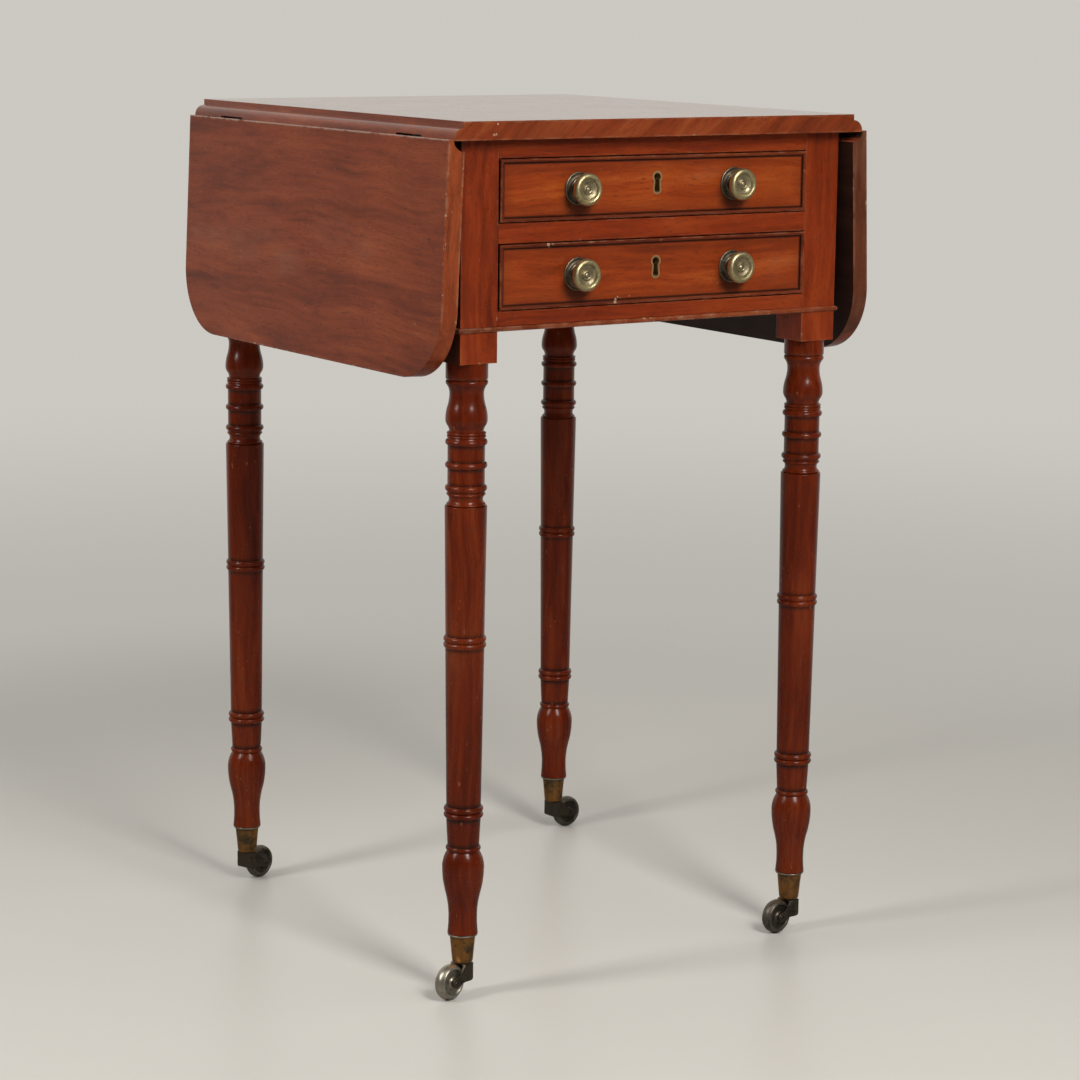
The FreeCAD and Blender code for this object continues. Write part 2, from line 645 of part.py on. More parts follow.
def top_profile():
    right = [("pin_x", "table_height"), ("pin_x", "table_height - joint_fillet"),
             ("pin_x + ovolo", "pin_height", "level", "pin_height"), ("pin_x + ovolo", "underside")]
    left = [("-pin_x - ovolo", "underside"), ("-pin_x - ovolo", "pin_height"),
            ("-pin_x", "table_height - joint_fillet", "level", "pin_height"), ("-pin_x", "table_height")]
    return right + left


def leaf_blank():
    """The leaf about its pin: +X is its width, and its upper face lies towards +Z."""
    leaf = doc.addObject("PartDesign::Body", "leaf_blank")
    half, outer = "top_depth / 2", "leaf_width"
    outline = [("joint_gap", "-" + half), ("joint_gap", half), ("%s - leaf_corner" % outer, half),
               (outer, "%s - leaf_corner" % half, "level", "%s - leaf_corner" % half),
               (outer, "leaf_corner - %s" % half),
               ("%s - leaf_corner" % outer, "-" + half, "level", "leaf_corner - %s" % half)]
    add_pad(leaf, "XY_Plane", "-pin_lift", "top_thickness", outline)
    cove = "ovolo + joint_gap"
    section = [("0", "0"), ("0", cove), (cove, "0", "level", "0"), (cove, "-2 * pin_lift"),
               ("0", "-2 * pin_lift")]
    hollow = leaf.newObject("PartDesign::Pocket", "leaf_cove")
    hollow.Profile = new_sketch(leaf, "XZ_Plane", section, "-" + half)
    hollow.Reversed = True
    bind(hollow, "Length", "top_depth")
    return leaf


def on_leaf(item, y="0"):
    """Hang something drawn about the hinge pin on the right-hand leaf."""
    turn(item, V(0, 1, 0), "90 - leaf_lean")
    return move(item, "pin_x", y, "pin_height")


middle_knuckle = ("-knuckle_length / 2", "knuckle_length / 2")
knuckle_room = "knuckle_length / 2 + knuckle_gap"
half_hinge = ("-hinge_width / 2", "hinge_width / 2")


def leaf_flap(name, y):
    plate = box(name + "_plate", ("0", "leaf_flap"), half_hinge, ("-pin_lift", "flap_thickness - pin_lift"))
    knuckle = rod(name + "_knuckle", "barrel_radius", "0", middle_knuckle, "0")
    clear = "barrel_radius + joint_gap"
    notches = [box(name + "_notch_front", ("-(%s)" % clear, clear), ("-hinge_width", "-knuckle_length / 2"),
                   ("-" + clear, clear)),
               box(name + "_notch_back", ("-(%s)" % clear, clear), ("knuckle_length / 2", "hinge_width"),
                   ("-" + clear, clear))]
    bore = rod(name + "_bore", "hinge_pin_radius + running_fit", "0", half_hinge, "0")
    notched = cut(name + "_notched", plate, *notches)
    return on_leaf(cut(name, fuse(name + "_blank", notched, knuckle), bore), y)


def top_flap(name, y):
    sides = ("%s - hinge_width / 2" % y, "%s + hinge_width / 2" % y)
    plate = box(name + "_plate", ("pin_x - top_flap", "pin_x"), sides,
                ("underside", "underside + flap_thickness"))
    room = ("%s - (%s)" % (y, knuckle_room), "%s + %s" % (y, knuckle_room))
    clear = "barrel_radius + joint_gap"
    notch = box(name + "_notch", ("pin_x - (%s)" % clear, "pin_x + " + clear), room,
                ("pin_height - (%s)" % clear, "pin_height + " + clear))
    barrel = rod(name + "_barrel", "barrel_radius", "pin_x", sides, "pin_height")
    bore = rod(name + "_bore", "hinge_pin_radius", "pin_x", sides, "pin_height")
    return cut(name, fuse(name + "_blank", plate, barrel), notch, bore)


def hinge_room(name, y):
    """What the joiner cuts from the top for a hinge: flap bed, barrel groove and the leaf flap's way."""
    sides = ("%s - hinge_width / 2 - joint_gap" % y, "%s + hinge_width / 2 + joint_gap" % y)
    bed = box(name + "_bed", ("pin_x - top_flap", "pin_x"),
              ("%s - hinge_width / 2" % y, "%s + hinge_width / 2" % y),
              ("underside", "underside + flap_thickness"))
    groove = rod(name + "_groove", "barrel_radius + joint_gap", "pin_x", sides, "pin_height")
    way = box(name + "_way", ("pin_x", "pin_x + 2 * ovolo"), sides,
              ("underside - pin_lift", "underside + flap_thickness + joint_gap"))
    return fuse(name, bed, groove, way)


hinge_ys = {"front": "-hinge_y", "back": "hinge_y"}
top_flaps, pins, rooms, leaf_flaps = [], [], [], []
for end, y in hinge_ys.items():
    top_flaps += both_sides(top_flap("top_flap_" + end, y))
    pins += both_sides(rod("hinge_pin_" + end, "hinge_pin_radius", "pin_x",
                           ("%s - hinge_width / 2" % y, "%s + hinge_width / 2" % y), "pin_height"))
    rooms += both_sides(hinge_room("hinge_room_" + end, y))
    leaf_flaps.append(leaf_flap("leaf_flap_" + end, y))
hinge_top_flaps = group("hinge_top_flaps", *top_flaps)
hinge_pins = group("hinge_pins", *pins)
right_leaf_flaps = group("right_leaf_hinge_flaps", *leaf_flaps)
left_leaf_flaps = mirror("left_leaf_hinge_flaps", right_leaf_flaps)
right_leaf = cut("right_leaf", on_leaf(leaf_blank()), right_leaf_flaps)
left_leaf = mirror("left_leaf", right_leaf)

top_blank = prism("top_blank", "XZ_Plane", "-top_depth / 2", "top_depth", top_profile())
top_board = cut("top_board", top_blank, top_screws, *rooms)
front_top_rail_screwed = cut("front_top_rail_screwed", top_rail_blank, top_screws)


# Fly brackets: knuckle-jointed wooden arms in the sides that swing out under a raised leaf.

def fly_bracket():
    """The arm, with one knuckle between the two of its block."""
    root = "bracket_pivot - bracket_thickness / 2 - bracket_play"
    tip = "bracket_pivot - bracket_reach"
    low, high = "bracket_floor + bracket_play", "underside - bracket_play"
    outline = [(tip, high), (root, high), (root, low), ("%s + bracket_tip" % tip, low),
               (tip, "%s + bracket_tip" % low, "level", "%s + bracket_tip" % low)]
    arm = prism("bracket_arm", "YZ_Plane", "case_x - bracket_thickness", "bracket_thickness", outline)
    middle = ("bracket_floor + bracket_play + knuckle_third + bracket_play / 2",
              "bracket_floor + bracket_play + 2 * knuckle_third - bracket_play / 2")
    web = box("bracket_web", ("case_x - bracket_thickness", "case_x"), (root, "bracket_pivot"), middle)
    knuckle = upright("bracket_knuckle", "bracket_thickness / 2", "bracket_x", "bracket_pivot", middle)
    bore = upright("bracket_bore", "bracket_pin_radius + running_fit", "bracket_x", "bracket_pivot", middle)
    return cut("right_fly_bracket", fuse("bracket_blank", arm, web, knuckle), bore)


def knuckle_block():
    """The fixed block that carries a fly bracket."""
    root = "bracket_pivot + bracket_thickness / 2 + bracket_play"
    height = ("bracket_floor", "underside")
    thick = ("case_x - bracket_thickness - bracket_play", "case_x")
    pieces = [box("block_body", thick, (root, "bracket_pivot + bracket_block"), height)]
    ends = {"low": ("bracket_floor", "bracket_floor + bracket_play + knuckle_third"),
            "high": ("underside - bracket_play - knuckle_third", "underside")}
    for end, span in ends.items():
        pieces.append(box("block_web_" + end, thick, ("bracket_pivot", root), span))
        pieces.append(upright("block_knuckle_" + end, "bracket_thickness / 2", "bracket_x",
                              "bracket_pivot", span))
    bore = upright("block_bore", "bracket_pin_radius", "bracket_x", "bracket_pivot", height)
    return cut("block", fuse("block_blank", *pieces), bore)


bracket_recess = box("bracket_recess", ("case_x - bracket_thickness - bracket_play", "case_x + bead_proud"),
                     ("bracket_pivot - bracket_reach - bracket_play", "bracket_pivot + bracket_block"),
                     ("bracket_floor", "underside"))
right_fly_bracket = fly_bracket()
left_fly_bracket = mirror("left_fly_bracket", right_fly_bracket)
bracket_blocks = group("fly_bracket_blocks", *both_sides(knuckle_block()))
bracket_pin = upright("bracket_pin", "bracket_pin_radius", "bracket_x", "bracket_pivot",
                      ("bracket_floor", "underside"))
bracket_pins = group("fly_bracket_pins", *both_sides(bracket_pin))
side_panel_right = cut("side_panel_right", side_blank, bracket_recess, base_bead)
side_panel_left = mirror("side_panel_left", side_panel_right)


# Drawers: dovetailed linings, a cockbeaded front with lock, keyhole lining and two knobs.

def tail_points(root, tip, floor, height):
    """Two dovetails up one end of a drawer side, from the lower edge to the upper."""
    points = []
    for number in (1, 3):
        middle = "%s + (%s) * %d / 4" % (floor, height, number)
        wide, narrow = "tail_width / 2", "(tail_width / 2 - tail_slope)"
        points += [(root, "%s - %s" % (middle, narrow)), (tip, "%s - %s" % (middle, wide)),
                   (tip, "%s + %s" % (middle, wide)), (root, "%s + %s" % (middle, narrow))]
    return points


def drawer_side(name, floor, height):
    top = "%s + %s" % (floor, height)
    front = tail_points("front_back", "front_back - tail_length", floor, height)
    back = tail_points("drawer_end - lining_thickness", "drawer_end", floor, height)
    outline = [("front_back", floor)] + front + [("front_back", top), ("drawer_end - lining_thickness", top)]
    outline += back[::-1] + [("drawer_end - lining_thickness", floor)]
    return prism(name, "YZ_Plane", "drawer_in", "lining_thickness", outline)


def keyhole(name, wall, start, depth, centre):
    """A round hole over a slot that widens to a rounded foot, cut from front to back."""
    radius, waist = "(keyhole_head + %s)" % wall, "(keyhole_waist + %s)" % wall
    foot, sag = "(keyhole_foot + %s)" % wall, "keyhole_sag + %s" % wall
    drop = "sqrt(%s ^ 2 - %s ^ 2)" % (radius, waist)
    hip, low = "%s - %s" % (centre, drop), "%s - keyhole_length + keyhole_sag" % centre
    outline = [(waist, hip, "bulge", "%s + %s" % (radius, drop)), (foot, low),
               ("-" + foot, low, "bulge", sag), ("-" + waist, hip)]
    return prism(name, "XZ_Plane", start, depth, outline)


def knob(name, z):
    """A turned knob with a ringed dish in its face, on its neck and shank."""
    face, back = "-case_y - knob_reach", "knob_head - case_y - knob_reach"
    profile = [("0", face + " + dish_depth / 2"), ("dish_boss", face + " + dish_depth / 2"),
               ("dish_boss", face + " + dish_depth"), ("knob_dish", face + " + dish_depth"),
               ("knob_dish", face), ("knob_radius - knob_head / 3", face),
               ("knob_radius", face + " + knob_head / 2", "level", face + " + knob_head / 2"),
               ("knob_radius - knob_head / 3", back, "level", face + " + knob_head / 2"),
               ("knob_neck", "-case_y - rose_height", "level", back),
               ("shank_radius", "-case_y - rose_height"), ("shank_radius", "shank_length - case_y"),
               ("0", "shank_length - case_y")]
    return move(turned(name, profile, "XY_Plane"), "knob_spacing / 2", "0", z)


def rose(name, z):
    """A stepped disc between knob and drawer front."""
    profile = [("shank_radius", "-case_y - rose_height"), ("rose_step - rose_rim", "-case_y - rose_height"),
               ("rose_step", "-case_y - rose_rim", "level", "-case_y - rose_rim"),
               ("rose_radius - rose_rim", "-case_y - rose_rim"),
               ("rose_radius", "-case_y", "level", "-case_y"), ("shank_radius", "-case_y")]
    return move(turned(name, profile, "XY_Plane"), "knob_spacing / 2", "0", z)


def drawer(prefix, floor, bay):
    """The pieces of one drawer, with the bolt as a piece that moves in the lock."""
    low, high = floor + " + drawer_gap", "%s + %s - drawer_gap" % (floor, bay)
    side_height = "%s - 2 * drawer_gap - side_drop" % bay
    middle = "%s + %s / 2" % (floor, bay)
    name = prefix + "_drawer_"
    node = {}

    bottom_z = (low + " + bottom_lift", low + " + bottom_lift + bottom_thickness")
    reach = "drawer_in + groove_depth"
    bottom = box(name + "bottom", ("-(%s)" % reach, reach), ("front_back - groove_depth", "drawer_end"),
                 bottom_z)
    side = cut(name + "right_side", drawer_side(name + "side_blank", low, side_height), bottom)
    left_side = mirror(name + "left_side", side)
    back_blank = box(name + "back_blank", ("-drawer_x", "drawer_x"),
                     ("drawer_end - lining_thickness", "drawer_end"),
                     (bottom_z[1], "%s + %s - back_drop" % (low, side_height)))
    node["back"] = cut(name + "back", back_blank, side, left_side)
    node.update({"bottom": bottom, "right_side": side, "left_side": left_side})

    width, height = "2 * drawer_x", "%s - 2 * drawer_gap" % bay
    edges = {"low": (width, "0", "0", low), "high": (width, "180", "0", high),
             "right": (height, "270", "drawer_x", middle), "left": (height, "90", "-drawer_x", middle)}
    strips = []
    for edge, (length, angle, x, z) in edges.items():
        strip = turn(cockbead("%sbead_%s" % (name, edge), length), V(0, 1, 0), angle)
        strips.append(move(strip, x, "cockbead_depth - case_y", z))
    node["cockbeads"] = group(name + "cockbeads", *strips)

    centre = middle + " + keyhole_lift"
    lining = keyhole(name + "lining", "escutcheon_wall", "case_y - escutcheon_depth", "escutcheon_depth",
                     centre)
    hole = keyhole(name + "hole", "0", "case_y - front_thickness", "front_thickness", centre)
    node["escutcheon"] = cut(name + "escutcheon", lining, hole)

    lock_z = ("max(%s - lock_height; %s + lock_clear)" % (high, bottom_z[1]), high)
    case = box(name + "lock_block", ("-lock_width / 2", "lock_width / 2"),
               ("front_back - lock_depth", "front_back"), lock_z)
    bolt_x = ("-bolt_width / 2", "bolt_width / 2")
    bolt_y = ("bolt_y - bolt_thickness / 2", "bolt_y + bolt_thickness / 2")
    node["lock_bolt"] = box(name + "lock_bolt", bolt_x, bolt_y, (high + " - bolt_height", high))
    play = "bolt_play"
    channel = box(name + "bolt_channel", (bolt_x[0] + " - " + play, bolt_x[1] + " + " + play),
                  (bolt_y[0] + " - " + play, bolt_y[1] + " + " + play),
                  ("%s - bolt_height - %s" % (high, play), "%s + bolt_throw + 2 * drawer_gap" % high))
    node["lock_case"] = cut(name + "lock_case", case, channel, hole)

    node["knobs"] = group(name + "knobs", *both_sides(knob(name + "knob", middle)))
    node["roses"] = group(name + "roses", *both_sides(rose(name + "rose", middle)))
    board = box(name + "front_board", ("-drawer_x", "drawer_x"), ("-case_y", "front_back"), (low, high))
    node["front"] = cut(name + "front", board, node["cockbeads"], side, left_side, bottom, case, lining,
                        hole, node["knobs"])
    return {name + key: item for key, item in node.items()}, channel


upper_drawer, upper_channel = drawer("upper", "upper_floor", "upper_bay")
lower_drawer, lower_channel = drawer("lower", "lower_floor", "lower_bay")
front_top_rail = cut("front_top_rail_mortised", front_top_rail_screwed, upper_channel)
front_middle_rail = cut("front_middle_rail_mortised", middle_rail_blank, lower_channel)


# Castors: a cup on each toe, a fork that swivels in the cup, and a dished wheel on its axle.

def cup(name, x, y):
    profile = [("spigot_radius", "cup_top"), ("cup_radius", "cup_top"),
               ("cup_radius + cup_rim", "cup_top - cup_rim_height / 2"),
               ("cup_radius", "cup_top - cup_rim_height"),
               ("cup_foot_radius", "cup_floor + cup_rim_height"),
               ("cup_foot_radius - cup_rim_height", "cup_floor"),
               ("swivel_radius + running_fit", "cup_floor"),
               ("swivel_radius + running_fit", "cup_top - spigot_length"),
               ("spigot_radius", "cup_top - spigot_length")]
    return move(turned(name, profile), x, y)


def fork_solid(name):
    """Fork about its swivel axis: +X is the way it trails."""
    axle, high = "wheel_radius", "fork_top"
    outline = [("-fork_boss", high), ("fork_boss", high), ("fork_boss", high + " - cheek_radius / 2"),
               ("castor_trail", axle + " + cheek_radius"),
               ("castor_trail + cheek_radius", axle, "level", axle),
               ("castor_trail", axle + " - cheek_radius", "level", axle),
               ("0", axle + " - cheek_radius / 2"), ("-fork_boss", axle)]
    fork = prism(name + "_blank", "XZ_Plane", "-fork_width / 2", "fork_width", outline)
    pin = upright(name + "_pin", "swivel_radius", "0", "0", (high, "cup_floor + swivel_length"))
    room = "wheel_width / 2 + wheel_gap"
    wheel_room = rod(name + "_wheel_room", "wheel_radius + fork_clear", "castor_trail",
                     ("-(%s)" % room, room), axle)
    bore = rod(name + "_bore", "axle_radius", "castor_trail", ("-fork_width", "fork_width"), axle)
    return cut(name, fuse(name + "_whole", fork, pin), wheel_room, bore)


def wheel_solid(name):
    """Wheel with a rounded tread and dished sides about its hub."""
    half, bore = "wheel_width / 2", "axle_radius + running_fit"
    web, rim = "wheel_width / 2 - wheel_dish", "(wheel_radius + wheel_rim) / 2"
    profile = [(bore, half), ("wheel_hub", half), ("wheel_hub + wheel_dish", web), ("wheel_rim", web),
               ("wheel_rim", half), (rim, half), (rim, "-" + half, "bulge", "wheel_radius - %s" % rim),
               ("wheel_rim", "-" + half), ("wheel_rim", "-(%s)" % web),
               ("wheel_hub + wheel_dish", "-(%s)" % web), ("wheel_hub", "-" + half), (bore, "-" + half)]
    return turned(name, profile, "XY_Plane")


castors = {"front_left": ("-leg_x", "-leg_y"), "front_right": ("leg_x", "-leg_y"),
           "back_left": ("-leg_x", "leg_y"), "back_right": ("leg_x", "leg_y")}
castor_nodes, cups = {}, []
for corner, (x, y) in castors.items():
    angle = "turn_" + corner
    axle_x = "%s + castor_trail * cos(%s)" % (x, angle)
    axle_y = "%s + castor_trail * sin(%s)" % (y, angle)
    fork = fork_solid("castor_fork_" + corner)
    turn(fork, V(0, 0, 1), angle)
    move(fork, x, y)
    wheel = wheel_solid("castor_wheel_" + corner)
    shank = rectangle(("0", "axle_radius"), ("-fork_width / 2", "fork_width / 2"))
    axle = turned("castor_axle_" + corner, shank, "XY_Plane")
    for piece in (wheel, axle):
        turn(piece, V(0, 0, 1), angle)
        move(piece, axle_x, axle_y, "wheel_radius")
    for piece in (fork, wheel, axle):
        castor_nodes[piece.Name] = piece
    cups.append(cup("castor_cup_" + corner, x, y))


# Every sub-part, by the name of its node.

nodes = {leg.Name: leg for leg in legs}
nodes.update({
    "side_panel_left": side_panel_left, "side_panel_right": side_panel_right,
    "back_panel": back_panel, "front_top_rail": front_top_rail,
    "front_middle_rail": front_middle_rail, "front_bottom_rail": front_bottom_rail,
    "base_bead": base_bead, "drawer_runners": drawer_runners, "drawer_stops": drawer_stops,
    "top_board": top_board, "top_screws": top_screws, "hinge_top_flaps": hinge_top_flaps,
    "hinge_pins": hinge_pins, "fly_bracket_blocks": bracket_blocks, "fly_bracket_pins": bracket_pins,
    "castor_cups": group("castor_cups", *cups),
    "left_leaf": left_leaf, "left_leaf_hinge_flaps": left_leaf_flaps,
    "right_leaf": right_leaf, "right_leaf_hinge_flaps": right_leaf_flaps,
    "left_fly_bracket": left_fly_bracket, "right_fly_bracket": right_fly_bracket,
})
nodes.update(upper_drawer)
nodes.update(lower_drawer)
nodes.update(castor_nodes)

for label, item in nodes.items():
    item.Label = label
doc.recompute()

failed = [item.Name for item in doc.Objects if {"Invalid", "Error"} & set(item.State)]
faulty = [label for label, item in nodes.items() if item.Shape.isNull() or not item.Shape.isValid()]
if failed or faulty:
    raise RuntimeError("failed objects: %s; faulty shapes: %s" % (failed, faulty))

os.makedirs("parts", exist_ok=True)
for label, item in nodes.items():
    item.Shape.exportStep("parts/%s.step" % label)
print("%d sub-parts written" % len(nodes))
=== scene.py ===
# %% [markdown]
# # A drop-leaf work table
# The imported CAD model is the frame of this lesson. Every board, hinge and castor already stands in
# its place, in metres, with the floor at height 0. Blender adds what the drawing leaves out: eased
# arrises, grain, old polish, tarnish and light. Loading the frame first means that nothing is fitted
# by eye later.

# %% Load the frame
import json
import math

import bmesh
import bpy
from mathutils import Matrix, Vector

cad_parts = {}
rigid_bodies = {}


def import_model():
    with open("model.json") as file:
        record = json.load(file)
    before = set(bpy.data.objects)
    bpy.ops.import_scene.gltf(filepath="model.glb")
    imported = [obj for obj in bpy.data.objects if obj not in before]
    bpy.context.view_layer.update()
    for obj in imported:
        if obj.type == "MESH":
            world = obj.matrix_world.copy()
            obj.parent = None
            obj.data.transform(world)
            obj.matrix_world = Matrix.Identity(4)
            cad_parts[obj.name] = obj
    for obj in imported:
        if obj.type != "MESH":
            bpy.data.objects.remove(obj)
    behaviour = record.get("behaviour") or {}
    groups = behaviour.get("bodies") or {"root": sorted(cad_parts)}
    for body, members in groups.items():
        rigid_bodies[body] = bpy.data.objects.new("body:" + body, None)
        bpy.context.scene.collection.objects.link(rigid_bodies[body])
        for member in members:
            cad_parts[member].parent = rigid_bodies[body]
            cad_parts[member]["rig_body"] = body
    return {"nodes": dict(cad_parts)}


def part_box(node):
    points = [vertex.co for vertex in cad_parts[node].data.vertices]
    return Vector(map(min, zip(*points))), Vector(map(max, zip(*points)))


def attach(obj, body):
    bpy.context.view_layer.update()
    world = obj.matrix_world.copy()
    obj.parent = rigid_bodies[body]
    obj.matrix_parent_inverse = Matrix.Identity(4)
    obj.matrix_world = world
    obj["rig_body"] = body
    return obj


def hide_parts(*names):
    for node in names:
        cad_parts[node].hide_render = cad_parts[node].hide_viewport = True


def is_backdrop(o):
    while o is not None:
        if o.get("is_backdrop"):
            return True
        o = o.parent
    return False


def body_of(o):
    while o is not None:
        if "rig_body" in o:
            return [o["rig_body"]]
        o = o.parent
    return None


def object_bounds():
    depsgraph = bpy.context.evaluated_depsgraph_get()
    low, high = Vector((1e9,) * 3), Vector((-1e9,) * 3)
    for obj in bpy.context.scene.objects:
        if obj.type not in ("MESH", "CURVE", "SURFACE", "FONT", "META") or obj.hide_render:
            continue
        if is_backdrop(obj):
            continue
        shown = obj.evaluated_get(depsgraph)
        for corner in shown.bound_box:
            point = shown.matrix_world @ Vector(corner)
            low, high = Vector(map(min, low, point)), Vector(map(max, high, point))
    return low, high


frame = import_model()
cad_box = [list(corner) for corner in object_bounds()]

# %% [markdown]
# ## Camera
# The table is seen from its left front corner, with the eye just above the top, so that the top is a
# thin bright sliver and both drawers and one leaf show their faces. A long lens from nearly three
# metres away keeps the legs parallel. The camera's axes are written out from three angles, because
# that is easier to read and to correct than a quaternion.

# %% Camera
CAMERA_AT = Vector((-1.4550, -2.2327, 0.8324))
YAW, PITCH, ROLL = (math.radians(angle) for angle in (33.562, 10.525, 0.705))
LENS, SENSOR = 101.39, 36.0


def camera_axes(yaw, pitch, roll):
    """A matrix with the camera's right, up and backward directions as its columns."""
    level = math.cos(pitch)
    ahead = Vector((math.sin(yaw) * level, math.cos(yaw) * level, -math.sin(pitch)))
    right = Vector((math.cos(yaw), -math.sin(yaw), 0.0))
    up = right.cross(ahead)
    across = right * math.cos(roll) + up * math.sin(roll)
    upward = up * math.cos(roll) - right * math.sin(roll)
    return Matrix((across, upward, -ahead)).transposed()


scene = bpy.context.scene
lens = bpy.data.cameras.new("viewer")
lens.lens, lens.sensor_width = LENS, SENSOR
viewer = bpy.data.objects.new("viewer", lens)
viewer.matrix_world = Matrix.Translation(CAMERA_AT) @ camera_axes(YAW, PITCH, ROLL).to_4x4()
scene.collection.objects.link(viewer)
scene.camera = viewer
print("camera at", [round(v, 3) for v in CAMERA_AT])

# %% [markdown]
# ## Shader maths as plain sums
# A finish is a graph of nodes, and long graphs are hard to read as calls. One small class wraps a
# socket: adding or multiplying two of them adds a Math node, and every other node comes from one
# method that is given its type, its settings and what goes into its sockets. A few short helpers
# cover what every finish here needs.

# %% Wire class and helpers
class Wire:
    """One socket of a node tree."""

    def __init__(self, tree, socket=None):
        self.tree = tree
        self.socket = socket

    def node(self, kind, settings=(), sockets=(), out=0):
        made = self.tree.nodes.new(kind if "Node" in kind else "ShaderNode" + kind)
        for key, setting in dict(settings).items():
            if key == "stops":
                fill_ramp(made.color_ramp, setting)
            else:
                setattr(made, key, setting)
        for key, feed in dict(sockets).items():
            if isinstance(feed, Wire):
                self.tree.links.new(feed.socket, made.inputs[key])
            else:
                made.inputs[key].default_value = feed
        return Wire(self.tree, made.outputs[out] if len(made.outputs) else None)

    def out(self, name):
        """Another output of the same node."""
        return Wire(self.tree, self.socket.node.outputs[name])

    def math(self, operation, first, second=0.0):
        return self.node("Math", {"operation": operation}, {0: first, 1: second})

    def __add__(self, other):
        return self.math("ADD", self, other)

    def __sub__(self, other):
        return self.math("SUBTRACT", self, other)

    def __rsub__(self, other):
        return self.math("SUBTRACT", other, self)

    def __mul__(self, other):
        return self.math("MULTIPLY", self, other)

    __radd__ = __add__
    __rmul__ = __mul__


def fill_ramp(ramp, stops):
    while len(ramp.elements) < len(stops):
        ramp.elements.new(1.0)
    for element, (at, colour) in zip(ramp.elements, stops):
        element.position = at
        element.color = (*colour, 1.0)


def fade(amount, low, high):
    """0 below low, 1 above high, smooth between."""
    sockets = {0: amount, 1: low, 2: high}
    return amount.node("MapRange", {"interpolation_type": "SMOOTHSTEP"}, sockets)


def tint(share, under, over):
    """One colour over another by share."""
    colours = {0: share, 6: under, 7: over}
    full = {key: (*c, 1.0) if isinstance(c, tuple) else c for key, c in colours.items()}
    return share.node("Mix", {"data_type": "RGBA"}, full, 2)


def noise(place, scale, detail=3.0, rough=0.5, out=0):
    sockets = {"Vector": place, "Scale": scale, "Detail": detail, "Roughness": rough}
    return place.node("TexNoise", {}, sockets, out)


def coordinate(place, letter):
    """One of a place's X, Y and Z."""
    return place.node("SeparateXYZ", {}, {0: place}).out(letter)


def distance(place, point):
    return place.node("VectorMath", {"operation": "DISTANCE"}, {0: place, 1: point}, "Value")


def blank(name):
    """A new material with an empty tree, and a wire to start from."""
    material = bpy.data.materials.new(name)
    material.use_nodes = True
    material.node_tree.nodes.clear()
    return material, Wire(material.node_tree)


print("shader helpers ready")

# %% [markdown]
# ## Studio
# The table stands on seamless pale paper under two soft lamps, not much higher than the table: one at
# the left, which lights the hanging leaf, and a larger one in front, which lights the drawers. Their
# two shadows cross on the floor, and four weak fills round about keep the shadows pale. The lamps are
# tall and narrow, which draws the highlights on the turnings out into upright strokes and keeps the
# legs' shadows crisp. The paper is a plain sheet with a slight sheen near the table. Further off it
# fades into an even glow that only the eye and reflections see, so the background stays pale from
# every side without lighting the wood.
# In reflections the pale side of the studio is the one behind the table; the room in front of it is
# dark, which is why the drawers look deep red and the hanging leaf, which mirrors the backdrop, has a
# pale sheen.

# %% Paper
PAPER, PAPER_IN_GLOSS = (0.72, 0.70, 0.648), (0.24, 0.23, 0.21)
PAPER_ROUGHNESS, PAPER_IOR = 0.34, 1.34
HAZE, FAR = (0.475, 0.458, 0.420), (0.60, 0.58, 0.535)
GLOW_FROM, HAZE_UNTIL = (0.75, 1.35), (1.2, 3.4)
BACKDROP, BACKDROP_FADE = (0.553, 0.833, 0.0), (0.05, 0.85)
ROOM_DIM = 0.05


def backdrop_share(start, direction):
    """How much of the pale backdrop a mirrored ray meets: all behind the table, little before it."""
    sockets = {0: direction, 1: BACKDROP}
    facing = start.node("VectorMath", {"operation": "DOT_PRODUCT"}, sockets, "Value")
    return ROOM_DIM + fade(facing, *BACKDROP_FADE) * (1.0 - ROOM_DIM)


def ray_kinds(start):
    """1 for rays from the eye, and 1 for rays that gloss or glass sent on."""
    path = start.node("LightPath")
    sent_on = path.math("MAXIMUM", path.out("Is Glossy Ray"), path.out("Is Transmission Ray"))
    return path.out("Is Camera Ray"), sent_on


def paper_finish():
    material, start = blank("studio_paper")
    place = start.node("TexCoord", {}, {}, "Object")
    away = start.node("VectorMath", {"operation": "LENGTH"}, {0: place}, "Value")
    outward = start.node("VectorMath", {"operation": "NORMALIZE"}, {0: place})
    eye, sent_on = ray_kinds(start)
    sheet = start.node("BsdfPrincipled", {}, {
        "Base Color": tint(sent_on, PAPER, PAPER_IN_GLOSS),
        "Roughness": PAPER_ROUGHNESS, "IOR": PAPER_IOR})
    far_tone = tint(fade(away, *HAZE_UNTIL), HAZE, FAR)
    glow = start.node("Emission", {}, {"Color": far_tone, "Strength": 1.0})
    seen = start.math("MAXIMUM", eye, sent_on * backdrop_share(start, outward))
    share = fade(away, *GLOW_FROM) * seen
    surface = start.node("MixShader", {}, {0: share, 1: sheet, 2: glow})
    start.node("OutputMaterial", {}, {"Surface": surface})
    return material


print("paper that glows from", GLOW_FROM[0], "m outwards")

# %% Floor and world
FLOOR_RADIUS, FLOOR_SIDES = 14.0, 96
AMBIENT, AMBIENT_TINT = 0.07, (1.0, 0.985, 0.955)


def circle(radius, sides):
    """Points across and up round a circle."""
    angles = [math.tau * k / sides for k in range(sides)]
    return [(radius * math.cos(angle), radius * math.sin(angle)) for angle in angles]


